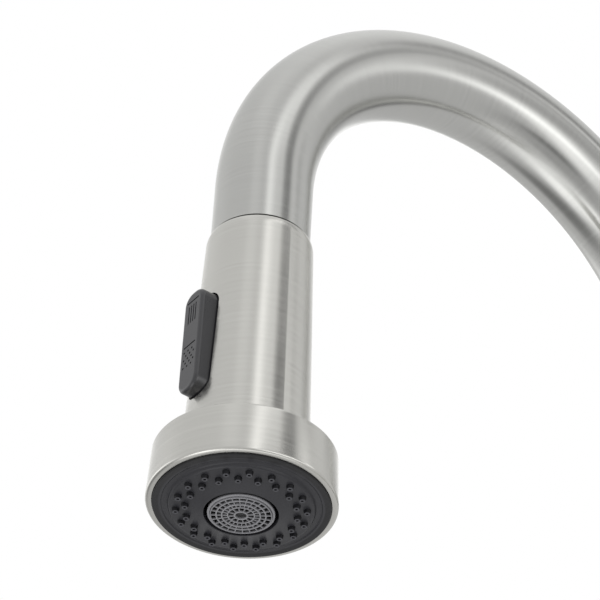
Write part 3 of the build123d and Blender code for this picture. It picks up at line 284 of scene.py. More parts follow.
def along(name, path, side, radius, travelled, columns=64, wrap_rows=False):
    """A round section swept along a path: point = path + r (cos a side + sin a (tangent x side)).

    side is a unit vector square to the path at each point, radius may change from point to point, and travelled is
    the distance along the tube that the materials see.
    """
    path, side = np.asarray(path, float), np.asarray(side, float)
    tangent = np.gradient(path, axis=0)
    tangent /= np.maximum(np.linalg.norm(tangent, axis=1, keepdims=True), 1e-12)
    across = np.cross(tangent, side)
    a = np.linspace(0.0, 2 * np.pi, columns, endpoint=False)
    radius = np.broadcast_to(radius, len(path))[:, None]
    points = (path[:, None] + (radius * np.cos(a))[..., None] * side[:, None]
              + (radius * np.sin(a))[..., None] * across[:, None])
    lay = np.stack([radius * np.cos(a), radius * np.sin(a), travelled[:, None] * np.ones(columns)], -1)
    return grid_mesh(name, points, lay, wrap_rows)


def tube_wall(name, centre_line, side, outer, inner, edge, columns):
    """A tube with a wall: an outside, an inside, and two rounded rims between them.

    The rims follow half circles: the radius goes from outer to inner while the end moves out by the edge.
    """
    travelled = np.concatenate([[0.0], np.cumsum(np.linalg.norm(np.diff(centre_line, axis=0), axis=1))])
    t = np.linspace(0.0, np.pi, 9)[:, None]
    rim = (outer + inner) / 2 + (outer - inner) / 2 * np.cos(t)
    a = np.linspace(0.0, 2 * np.pi, columns, endpoint=False)
    line, parts = centre_line.copy(), []
    for end, before, sign in ((0, 1, -1.0), (-1, -2, 1.0)):
        outward = centre_line[end] - centre_line[before]
        outward /= np.linalg.norm(outward)
        points = centre_line[end] + outward * (edge * (np.sin(t) - 1.0))
        across = np.cross(sign * outward, side[end])
        ring = (points[:, None] + (rim * np.cos(a))[..., None] * side[end] + (rim * np.sin(a))[..., None] * across)
        lay = np.stack([rim * np.cos(a), rim * np.sin(a), np.full((len(t), columns), travelled[end])], -1)
        parts.append(grid_mesh(name, ring, lay))
        line[end] = points[0]
    return parts + [along(name, line, side, radius, travelled, columns) for radius in (outer, inner)]


def gooseneck(bottom, arch, bend, end, arch_steps):
    """Points up the riser, round the half-circle arch and down the drop leg, with the X axis as their side."""
    riser = np.arange(bottom, arch, RISER_STEP)
    angle = np.linspace(0.0, np.pi, arch_steps)
    leg = np.arange(arch - RISER_STEP, end, -RISER_STEP)
    y = np.concatenate([np.zeros(len(riser)), -bend + bend * np.cos(angle), np.full(len(leg), -2 * bend)])
    z = np.concatenate([riser, arch + bend * np.sin(angle), leg])
    path = np.stack([np.zeros(len(y)), y, z], -1)
    if end < arch:
        path = np.concatenate([path, [[0.0, -2 * bend, end]]])
    return path, np.tile([1.0, 0.0, 0.0], (len(path), 1))


# Materials

def node(tree, kind, inputs=(), **settings):
    """A shader node with its settings, and with values or sockets put into its inputs."""
    made = tree.nodes.new(kind)
    for key, value in settings.items():
        setattr(made, key, value)
    for key, value in dict(inputs).items():
        if isinstance(value, bpy.types.NodeSocket):
            tree.links.new(value, made.inputs[key])
        else:
            made.inputs[key].default_value = value
    return made


def calc(tree, operation, *values):
    """The result of a math node."""
    return node(tree, "ShaderNodeMath", enumerate(values), operation=operation).outputs[0]


def ranged(tree, value, low, high, bottom=0.0, top=1.0, way="LINEAR"):
    """A value mapped from one range to another, clamped."""
    made = node(tree, "ShaderNodeMapRange", {0: value, 1: low, 2: high, 3: bottom, 4: top}, interpolation_type=way)
    return made.outputs[0]


def weighed(tree, first, weight, second, other_weight):
    """The sum of two values, each times its weight."""
    return calc(tree, "ADD", calc(tree, "MULTIPLY", first, weight), calc(tree, "MULTIPLY", second, other_weight))


def blended(tree, share, first, second):
    """A colour between two others, each given as three numbers or as a socket."""
    pair = [rgb if isinstance(rgb, bpy.types.NodeSocket) else (*rgb, 1.0) for rgb in (first, second)]
    return node(tree, "ShaderNodeMix", {0: share, 6: pair[0], 7: pair[1]}, data_type="RGBA").outputs[2]


def scaled(rgb, factor):
    """A colour made lighter or darker."""
    return tuple(min(1.0, c * factor) for c in rgb)


def place(tree, from_lay):
    """Where a surface point is: its lay on the new surfaces, its place in the object on the solids."""
    if from_lay:
        return node(tree, "ShaderNodeAttribute", attribute_name=LAY).outputs["Vector"]
    return node(tree, "ShaderNodeTexCoord").outputs["Object"]


def striped(axis, along_it, round_it):
    """Noise scales for marks that run round an axis, in cycles per metre along the axis and round it."""
    return tuple(along_it if k == axis else round_it for k in range(3))


def noise(tree, where, scale, detail=3.0, roughness=0.55):
    """Noise in cycles per metre, with one scale or with its own scale on each axis."""
    scales = scale if isinstance(scale, tuple) else (scale, scale, scale)
    vector = node(tree, "ShaderNodeMapping", {0: where, 3: scales}).outputs[0]
    made = node(tree, "ShaderNodeTexNoise", {"Vector": vector, "Scale": 1.0, "Detail": detail,
                                             "Roughness": roughness})
    return made.outputs["Fac"]


def start_material(name):
    """An empty material: its tree, its surface shader and the material."""
    material = bpy.data.materials.new(name)
    material.use_nodes = True
    tree = material.node_tree
    shader = next(n for n in tree.nodes if n.type == "BSDF_PRINCIPLED")
    return material, tree, shader


def fill_shader(tree, shader, **sockets):
    """Put values or sockets into the surface shader."""
    for key, value in sockets.items():
        socket = shader.inputs[key.replace("_", " ")]
        if isinstance(value, bpy.types.NodeSocket):
            tree.links.new(value, socket)
        else:
            socket.default_value = value


def spoke(tree, where):
    """The distance of a point from the Z axis."""
    flat = node(tree, "ShaderNodeVectorMath", {0: where, 1: (1.0, 1.0, 0.0)}, operation="MULTIPLY").outputs[0]
    return node(tree, "ShaderNodeVectorMath", {0: flat}, operation="LENGTH").outputs["Value"]


def brushed(name, rgb, axis, roughness=0.22, stretch=0.75, from_lay=False, contrast=0.05, painted_shade_radius=None):
    """Satin metal with fine marks round an axis: noise that is long round the piece and short along the axis.

    With a radius given, all that lies inside it is painted nearly black as painted shade: the cut ends and the inside
    of a tube.
    """
    material, tree, shader = start_material(name)
    where = place(tree, from_lay)
    marks = noise(tree, where, striped(axis, 2600.0, 26.0), 4.0, 0.7)
    bands = noise(tree, where, striped(axis, 900.0, 12.0))
    cloud = noise(tree, where, 34.0, 2.0)
    mixed = weighed(tree, marks, 0.65, bands, 0.35)
    base = blended(tree, ranged(tree, mixed, 0.3, 0.7), scaled(rgb, 1.0 - contrast), scaled(rgb, 1.0 + contrast))
    # Painted shade: inside the radius the colour falls to almost black, for the shadow in the gap at the seam and down
    # the bore.
    if painted_shade_radius:
        share = ranged(tree, spoke(tree, where), painted_shade_radius - 0.08 * MM, painted_shade_radius - 0.01 * MM, 1.0, 0.0)
        base = blended(tree, share, base, scaled(rgb, 0.06))
    rough = calc(tree, "ADD", ranged(tree, marks, 0.25, 0.75, roughness - 0.03, roughness + 0.04),
                 ranged(tree, cloud, 0.3, 0.7, -0.02, 0.02))
    bump = node(tree, "ShaderNodeBump", {"Strength": 0.12, "Distance": 0.00002, "Height": mixed})
    if from_lay:
        tangent = node(tree, "ShaderNodeTangent", direction_type="UV_MAP", uv_map=BRUSH_MAP)
    else:
        tangent = node(tree, "ShaderNodeTangent", direction_type="RADIAL", axis="XYZ"[axis])
    fill_shader(tree, shader, Base_Color=base, Metallic=1.0, Roughness=rough, Anisotropic=stretch,
                Anisotropic_Rotation=0.25, Tangent=tangent.outputs[0], Normal=bump.outputs[0])
    return material


def moulded(name, rgb, roughness, grain=2400.0, bump_height=0.00002, spread=0.08, ior=1.46, from_lay=False,
            other=None, reach=None):
    """Moulded plastic or rubber: a fine stipple, and slow changes of tone and of gloss.

    With an other colour, reach says where it lies: "radius" or "height" in the lay, and the two distances between
    which it fades in.
    """
    material, tree, shader = start_material(name)
    where = place(tree, from_lay)
    stipple = noise(tree, where, grain, 4.0, 0.65)
    cloud = noise(tree, where, 60.0)
    tone = weighed(tree, stipple, 0.6, cloud, 0.4)
    base = blended(tree, ranged(tree, tone, 0.32, 0.68), scaled(rgb, 1.0 - spread), scaled(rgb, 1.0 + spread))
    if other:
        measure, start, full = reach
        level = node(tree, "ShaderNodeSeparateXYZ", {0: where}).outputs[2]
        share = ranged(tree, spoke(tree, where) if measure == "radius" else level, start, full)
        base = blended(tree, share, base, other)
    rough = calc(tree, "ADD", ranged(tree, stipple, 0.3, 0.7, roughness - 0.05, roughness + 0.05),
                 ranged(tree, cloud, 0.35, 0.65, -0.03, 0.03))
    bump = node(tree, "ShaderNodeBump", {"Strength": 0.3, "Distance": bump_height, "Height": stipple})
    fill_shader(tree, shader, Base_Color=base, Roughness=rough, IOR=ior, Normal=bump.outputs[0])
    return material


def braided(name, rgb, strands=16.0, pitch=0.0105):
    """Hose braid: two crossing families of strands, their heights sin(n a + k z) and sin(n a - k z)."""
    material, tree, shader = start_material(name)
    where = place(tree, True)
    split = node(tree, "ShaderNodeSeparateXYZ", {0: where})
    angle = calc(tree, "ARCTAN2", split.outputs[1], split.outputs[0])
    turn = calc(tree, "MULTIPLY", angle, strands)
    travel = calc(tree, "MULTIPLY", split.outputs[2], 2 * np.pi / pitch * strands / 4)
    left = calc(tree, "SINE", calc(tree, "ADD", turn, travel))
    right = calc(tree, "SINE", calc(tree, "SUBTRACT", turn, travel))
    height = calc(tree, "MAXIMUM", left, right)
    fibre = noise(tree, where, striped(2, 900.0, 3200.0))
    # Painted shade: the colour follows the strands' height, darker in the hollows between strands and lighter on the
    # crests; the fibre noise is the braid's own tone.
    tone = calc(tree, "ADD", calc(tree, "MULTIPLY", height, 0.35), fibre)
    base = blended(tree, ranged(tree, tone, 0.2, 1.0), scaled(rgb, 0.45), scaled(rgb, 1.25))
    bump = node(tree, "ShaderNodeBump", {"Strength": 0.7, "Distance": 0.0003, "Height": height})
    fill_shader(tree, shader, Base_Color=base, Roughness=0.62, Sheen_Weight=0.25, Normal=bump.outputs[0])
    return material


def screen(name, rgb, pitch=0.0006):
    """Woven wire screen seen end on, its wires along X and Y, painted dark as painted shade: near black gaps and wires
    at a third of the steel's colour.
    """
    material, tree, shader = start_material(name)
    split = node(tree, "ShaderNodeSeparateXYZ", {0: place(tree, False)})
    waves = [calc(tree, "SINE", calc(tree, "MULTIPLY", split.outputs[k], 2 * np.pi / pitch)) for k in (0, 1)]
    wire = calc(tree, "MAXIMUM", *waves)
    # Painted shade: the gaps are almost black and the wires far darker than steel, for the shade the screen lies in.
    base = blended(tree, ranged(tree, wire, 0.55, 0.95), (0.004, 0.004, 0.004), scaled(rgb, 0.35))
    bump = node(tree, "ShaderNodeBump", {"Strength": 0.5, "Distance": 0.0001, "Height": wire})
    fill_shader(tree, shader, Base_Color=base, Roughness=0.5, Metallic=0.4, Normal=bump.outputs[0])
    return material


def material(name):
    """A material made earlier by the materials' operator."""
    return bpy.data.materials[name]


class FAUCET_OT_materials(bpy.types.Operator):
    """Make the materials and put them on the solids that stay."""

    bl_idname = "faucet.materials"
    bl_label = "Materials"

    def execute(self, context):
        looks = context.scene.faucet_looks
        for label, axis in (("upright", 2), ("level", 0)):
            brushed("satin nickel " + label, looks.tube_metal, axis)
            brushed("brass " + label, looks.brass, axis, roughness=0.26, stretch=0.5, contrast=0.08)
            brushed("steel " + label, looks.steel, axis, roughness=0.24, stretch=0.5)
        brushed("satin nickel head", looks.head_metal, 2)
        brushed("satin nickel ring", looks.head_metal, 2, from_lay=True)
        # The tube's cut ends and bore are painted dark, as painted shade.
        brushed("satin nickel tube", looks.tube_metal, 2, from_lay=True,
                painted_shade_radius=context.scene.faucet_spout.tube_radius)
        brushed("brass thread", looks.brass, 2, roughness=0.3, stretch=0.3, from_lay=True, contrast=0.1)
        brushed("spring steel", looks.steel, 2, roughness=0.28, stretch=0.2, from_lay=True)
        moulded("black plastic", looks.black, 0.42)
        moulded("black rubber", looks.rubber, 0.55, grain=1500.0)
        # Nozzle rubber: lighter at the tips and, as painted shade, near black up the sides.
        moulded("nozzle rubber", looks.nozzle_tip, 0.5, grain=1800.0, from_lay=True, other=looks.nozzle_side_shade,
                reach=("height", 0.06 * MM, 0.22 * MM), ior=1.4)
        # The face plastic darkens outside a radius of 21.75 mm, on the slope down to the ring.
        moulded("face plastic", looks.black, 0.36, from_lay=True, other=scaled(looks.black, 0.35),
                reach=("radius", 21.75 * MM, 22.1 * MM))
        moulded("rocker plastic", looks.rocker, 0.32, ior=1.8)
        moulded("grey plastic", looks.grey, 0.4, grain=1800.0)
        # Painted shade: the aerator plastic darkens from 0.2 to 0.7 mm deep, for the shade in its cells, in the hub's
        # recess and in the gap round the lip.
        moulded("aerator plastic", looks.grey, 0.38, grain=1800.0, from_lay=True, other=scaled(looks.grey, 0.12),
                reach=("height", 0.2 * MM, 0.7 * MM))
        moulded("white plastic", looks.white, 0.38)
        moulded("ceramic", looks.ceramic, 0.12, bump_height=0.000004, spread=0.03, ior=1.75)
        braided("hose braid", looks.braid)
        screen("wire screen", looks.steel)
        plain = {
            "satin_nickel": "satin nickel upright", "stainless": "steel upright", "brass": "brass upright",
            "black_plastic": "black plastic", "grey_plastic": "grey plastic", "white_plastic": "white plastic",
            "black_rubber": "black rubber", "ceramic": "ceramic", "hose_braid": "hose braid",
        }
        special = {
            "head_sleeve": "satin nickel head", "dome_cap": "satin nickel level", "handle_hub": "satin nickel level",
            "cartridge_nut": "brass level", "stem": "brass level", "rocker_button": "rocker plastic",
            "aerator_screen": "wire screen",
        }
        for entry in frame["record"]["subparts"]:
            solid = frame["nodes"][entry["node"]]
            chosen = material(special.get(entry["node"], plain[entry["material_slot"]]))
            for holder in solid.material_slots:
                holder.material = chosen
        return {"FINISHED"}


class FAUCET_OT_spout(bpy.types.Operator):
    """Build the gooseneck tube as one smooth swept wall."""

    bl_idname = "faucet.spout"
    bl_label = "Gooseneck"

    def execute(self, context):
        size = context.scene.faucet_spout
        path, side = gooseneck(size.foot, size.arch, size.bend_radius, size.outlet, 181)
        walls = tube_wall("spout tube", path, side, size.tube_radius, size.tube_bore, size.edge, 112)
        piece("gooseneck_tube", walls, material("satin nickel tube"), "satin_nickel", "spout", "spout_tube")
        return {"FINISHED"}


class FAUCET_OT_hose(bpy.types.Operator):
    """Build the braided hose: the run in the gooseneck, and the stretch that pulls out with the head.

    The stretch's rows lie at t = 0.5 - sin(arcsin(1 - 2 s) / 3), with s in even steps. That undoes the smooth step
    3 t^2 - 2 t^3, so the rows come out evenly spaced under a pull that follows it.
    """

    bl_idname = "faucet.hose"
    bl_label = "Hose"

    def execute(self, context):
        size = context.scene.faucet_spout
        path, side = gooseneck(size.hose_tail, size.arch, size.bend_radius, size.arch, 121)
        walls = tube_wall("hose run", path, side, size.hose_radius, size.hose_bore, 0.0, 48)
        piece("hose_in_spout", walls, material("hose braid"), "hose_braid", "spout", "hose_run")
        steps = 141
        share = np.linspace(0.0, 1.0, steps)
        t = 0.5 - np.sin(np.arcsin(1.0 - 2.0 * share) / 3.0)
        drop = size.arch - size.hose_top
        axis = np.stack([np.zeros(steps), np.full(steps, -2 * size.bend_radius), size.arch - t * drop], -1)
        travelled = t * drop + share * size.pull
        sides = np.tile([1.0, 0.0, 0.0], (steps, 1))
        sheath = [along("loose hose", axis, sides, radius, travelled, 48)
                  for radius in (size.hose_radius, size.hose_bore)]
        rims = [turned("hose rim", [(size.hose_bore, z), (size.hose_radius, z)], 48,
                       (0.0, -2 * size.bend_radius), closed=False) for z in (size.arch, size.hose_top)]
        loose = piece("pull_out_hose", sheath + rims, material("hose braid"), "hose_braid", None, "hose_drop")
        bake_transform(loose)
        return {"FINISHED"}


class FAUCET_OT_bell(bpy.types.Operator):
    """Build the bell ring round the foot of the spray head."""

    bl_idname = "faucet.bell"
    bl_label = "Bell ring"

    def execute(self, context):
        size = context.scene.faucet_head
        corners = [
            (size.bell_bore, -0.1 * MM), (size.bell_radius, -0.1 * MM), (size.bell_top_radius, size.bell_height),
            (size.bell_neck, size.bell_height), (size.bell_neck, size.bell_height - size.bell_web),
            (size.bell_bore, size.bell_height - size.bell_web)]
        radii = (0.25 * MM, size.bell_round, 0.8 * size.bell_round, 0.1 * MM, 0.1 * MM, 0.1 * MM)
        profile = rounded(corners, radii, 10) + np.array([0.0, size.ring])
        ring = turned("bell ring", profile, 192, (0.0, -size.reach), phase=np.pi / 2)
        piece("bell_ring_turned", [ring], material("satin nickel ring"), "satin_nickel", "spray_head", "bell_ring")
        return {"FINISHED"}


def face_level(size, radius):
    """Level of the face at a radius: the parabola through its hole, its middle and its edge."""
    radii = (size.face_hole, size.face_middle, size.face_edge)
    levels = (size.face_hole_level, size.face_middle_level, size.face)
    shares = [np.prod([(radius - radii[j]) / (radii[k] - radii[j]) for j in range(3) if j != k], axis=0)
              for k in range(3)]
    return sum(share * level for share, level in zip(shares, levels))


class FAUCET_OT_face(bpy.types.Operator):
    """Build the black face plate: a dished face, a cove, a fine crest and a slope to the ring."""

    bl_idname = "faucet.face"
    bl_label = "Face plate"

    def execute(self, context):
        size = context.scene.faucet_head
        rim, cove, crest = size.bell_bore - 0.02 * MM, size.face_edge + 0.3 * MM, size.crest
        steps = 14
        dish = np.linspace(size.face_hole, size.face_edge, steps)
        corners = list(zip(dish, face_level(size, dish))) + [
            (cove, size.face + 0.3 * MM), (cove + 0.35 * MM, size.cove_floor),
            (crest - 0.5 * MM, size.cove_floor + 0.1 * MM), (crest - 0.2 * MM, size.crest_level),
            (crest + 0.2 * MM, size.crest_level), (rim, size.face_rim_level), (rim, size.face_back),
            (size.face_hole, size.face_back)]
        radii = np.array([0.25] + [0.0] * (steps - 2) + [0.25, 0.2, 0.4, 0.3, 0.12, 0.18, 0.3, 0.1, 0.1]) * MM
        plate = turned("face", rounded(corners, radii, 7), 192, (0.0, -size.reach), rise=size.ring)
        piece("face_plate_moulded", [plate], material("face plastic"), "black_plastic", "spray_head", "face_plate")
        return {"FINISHED"}


class FAUCET_OT_nozzles(bpy.types.Operator):
    """Build the nozzle mat with its two staggered circles of hollow nozzles."""

    bl_idname = "faucet.nozzles"
    bl_label = "Nozzles"

    def execute(self, context):
        size = context.scene.faucet_head
        back, height = size.face_back, size.nozzle_height
        pitch = 2 * np.pi / size.nozzle_count
        nubs = []
        for radius, phase in ((size.nozzle_outer, size.nozzle_phase),
                              (size.nozzle_inner, size.nozzle_phase + pitch / 2)):
            root = face_level(size, radius)
            tip = root - height
            profile = rounded([
                (size.nozzle_bore, back), (size.nozzle_bore, tip + 0.14 * MM), (size.nozzle_bore + 0.14 * MM, tip),
                (size.nozzle_tip, tip), (size.nozzle_root - 0.05 * MM, root), (size.nozzle_root, back)],
                (0.0, 0.08 * MM, 0.1 * MM, 0.2 * MM, 0.1 * MM, 0.0), 6, closed=False)
            angles = phase + pitch * np.arange(size.nozzle_count)
            centres = np.stack([radius * np.cos(angles), radius * np.sin(angles) - size.reach], -1)
            nubs += [turned("nozzle", profile - np.array([0.0, tip]), 28, centre, closed=False,
                            rise=size.ring + tip) for centre in centres]
        top = size.face_back + size.mat_thickness
        sheet = rounded([(size.mat_inner, back), (size.mat_outer, back), (size.mat_outer, top),
                         (size.mat_inner, top)], 0.1 * MM, 4) + np.array([0.0, size.ring])
        mat = turned("mat", sheet, 128, (0.0, -size.reach))
        piece("nozzle_mat_moulded", nubs + [mat], material("nozzle rubber"), "black_rubber", "spray_head",
              "nozzle_mat")
        return {"FINISHED"}


class FAUCET_OT_aerator(bpy.types.Operator):
    """Build the aerator insert: a stepped lip, rings and ribs with rounded fronts, and a plain hub.

    Radii are shares of the insert's own. Heights count up from the lip for the lip, from the grid's face for the rest.
    """

    bl_idname = "faucet.aerator"
    bl_label = "Aerator"

    def execute(self, context):
        size = context.scene.faucet_head
        radius, depth = size.aerator_radius, size.aerator_plate
        centre, face = (0.0, -size.reach), size.ring + size.aerator_face
        back = size.face_back + 0.9 * MM - size.aerator_lip
        lip = rounded([
            (0.905 * radius, back), (0.905 * radius, 0.3 * MM), (0.915 * radius, 0.12 * MM),
            (0.935 * radius, 0.0), (0.985 * radius, 0.0), (radius, 0.2 * MM), (radius, back)], 0.09 * MM, 6)
        parts = [turned("lip", lip, 128, centre, rise=size.ring + size.aerator_lip)]
        step = rounded([(0.885 * radius, depth), (0.885 * radius, -0.05 * MM), (0.91 * radius, -0.05 * MM),
                        (0.91 * radius, depth)], 0.1 * MM, 6)
        parts.append(turned("step", step, 128, centre, rise=face))
        rings = ((0.706, 0.752, 0.0), (0.544, 0.59, -0.12), (0.372, 0.415, 0.06))
        for inner, outer, proud in rings:
            profile = rounded([(inner * radius, depth), (inner * radius, proud * MM), (outer * radius, proud * MM),
                               (outer * radius, depth)], 0.17 * MM, 7)
            parts.append(turned("ring", profile, 96, centre, rise=face))
        hub = rounded([(0.0, 0.8 * MM), (0.155 * radius, 0.8 * MM), (0.168 * radius, -0.02 * MM),
                       (0.212 * radius, -0.02 * MM), (0.222 * radius, depth), (0.0, depth)],
                      (0.0, 0.15 * MM, 0.12 * MM, 0.12 * MM, 0.1 * MM, 0.0), 6, closed=False)
        parts.append(turned("hub", hub, 64, centre, closed=False, rise=face))
        half = size.rib / 2
        section = rounded([(-half, depth), (-half, 0.06 * MM), (half, 0.06 * MM), (half, depth)], 0.13 * MM, 6)
        spans = ((0.745, 0.895, 24), (0.578, 0.714, 24), (0.407, 0.552, 24), (0.2, 0.38, 12))
        for inner, outer, count in spans:
            reaches = np.array([inner, outer]) * radius
            for angle in 2 * np.pi / count * (np.arange(count) + 0.5):
                way, across = np.array([np.cos(angle), np.sin(angle)]), np.array([-np.sin(angle), np.cos(angle)])
                flat = reaches[None, :, None] * way + section[:, :1, None] * across
                level = np.broadcast_to(section[:, 1, None, None], (len(section), 2, 1))
                local = np.concatenate([flat, level], -1)
                parts.append(grid_mesh("rib", local + np.array([0.0, -size.reach, face]), local, wrap_rows=True,
                                       wrap_columns=False))
        # The aerator's material darkens deeper in, as painted shade.
        piece("aerator_insert", parts, material("aerator plastic"), "grey_plastic", "spray_head", "aerator_grid")
        return {"FINISHED"}


class FAUCET_OT_shank(bpy.types.Operator):
    """Build the shank under the deck with its real thread.

    At a height z and an angle a the phase is p = z / pitch - a / (2 pi), wrapped to 0..1. The radius lies below the
    shank's by the thread's depth times 1.6 |2 p - 1| - 0.3, clamped to 0..1, which gives flat crests and roots.
    """

    bl_idname = "faucet.shank"
    bl_label = "Threaded shank"

    def execute(self, context):
        size = context.scene.faucet_base
        columns, thread_top, entry = 96, 2 * MM, 0.8 * MM
        z = np.arange(size.shank_bottom, thread_top, size.pitch / 7)[:, None]
        a = np.linspace(0.0, 2 * np.pi, columns, endpoint=False)[None]
        phase = (z / size.pitch - a / (2 * np.pi)) % 1.0
        flank = np.clip(1.6 * np.abs(2 * phase - 1) - 0.3, 0.0, 1.0)
        fade = np.clip((z - size.shank_bottom) / entry, 0.0, 1.0)
        thread = size.shank_radius - size.thread_depth * flank - size.thread_depth * (1 - fade)
        level = z * np.ones(a.shape)
        top = np.full((1, columns), size.shank_top)
        plain = np.ones((1, columns))
        radius = np.concatenate([thread, size.shank_radius * plain, size.shank_radius * plain,
                                 size.shank_bore * plain, size.shank_bore * plain])
        height = np.concatenate([level, level[-1:] + size.pitch / 7, top, top, size.shank_bottom * plain])
        lay = np.stack([radius * np.cos(a), radius * np.sin(a), height], -1)
        mesh = grid_mesh("shank", lay, lay, wrap_rows=True)
        piece("shank_thread", [mesh], material("brass thread"), "brass", "root", "threaded_shank")
        return {"FINISHED"}


class FAUCET_OT_spring(bpy.types.Operator):
    """Build the check valve's spring as a real helix over the length of the solid spring."""

    bl_idname = "faucet.spring"
    bl_label = "Check valve spring"

    def execute(self, context):
        head = context.scene.faucet_head
        low, high = (corner.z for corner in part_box("check_valve_spring"))
        wire, middle, coils = 0.28 * MM, 2.2 * MM, 5.5
        t = np.linspace(0.0, 1.0, 220)
        turn = 2 * np.pi * coils * t
        side = np.stack([np.cos(turn), np.sin(turn), np.zeros(len(t))], -1)
        path = middle * side + np.stack([0 * t, 0 * t - head.reach, low + wire + (high - low - 2 * wire) * t], -1)
        wound = along("spring", path, side, wire, middle * turn, 10)
        spring = piece("check_valve_coil", [wound], material("spring steel"), "stainless", None,
                       "check_valve_spring")
        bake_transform(spring)
        return {"FINISHED"}


# Studio

def fading(tree, q, strength):
    """A soft fall to nothing: strength x exp(-q q)."""
    power = calc(tree, "MULTIPLY", calc(tree, "MULTIPLY", q, q), -1.0)
    return calc(tree, "MULTIPLY", calc(tree, "EXPONENT", power), strength)


def lobe(tree, azimuth, elevation, centre, spread, strength, turn):
    """A soft patch of the room: strength x exp(-q q), q = (u / width)^2 + (v / height)^2.

    u and v are the azimuth and elevation offsets from the centre, turned anticlockwise by some degrees.
    """
    cos, sin = np.cos(np.radians(turn)), np.sin(np.radians(turn))
    beside = calc(tree, "WRAP", calc(tree, "SUBTRACT", azimuth, centre[0]), 180.0, -180.0)
    above = calc(tree, "SUBTRACT", elevation, centre[1])
    u = weighed(tree, beside, cos / spread[0], above, sin / spread[0])
    v = weighed(tree, above, cos / spread[1], beside, -sin / spread[1])
    return fading(tree, weighed(tree, u, u, v, v), strength)


def halo(tree, direction, centre, radius, width, strength):
    """A soft ring of light: strength x exp(-((angle from the centre - radius) / width)^2)."""
    azimuth, elevation = np.radians(centre)
    aim = (np.cos(azimuth) * np.cos(elevation), np.sin(azimuth) * np.cos(elevation), np.sin(elevation))
    dot = node(tree, "ShaderNodeVectorMath", {0: direction, 1: aim}, operation="DOT_PRODUCT").outputs["Value"]
    angle = calc(tree, "DEGREES", calc(tree, "ARCCOSINE", dot))
    return fading(tree, calc(tree, "DIVIDE", calc(tree, "SUBTRACT", angle, radius), width), strength)


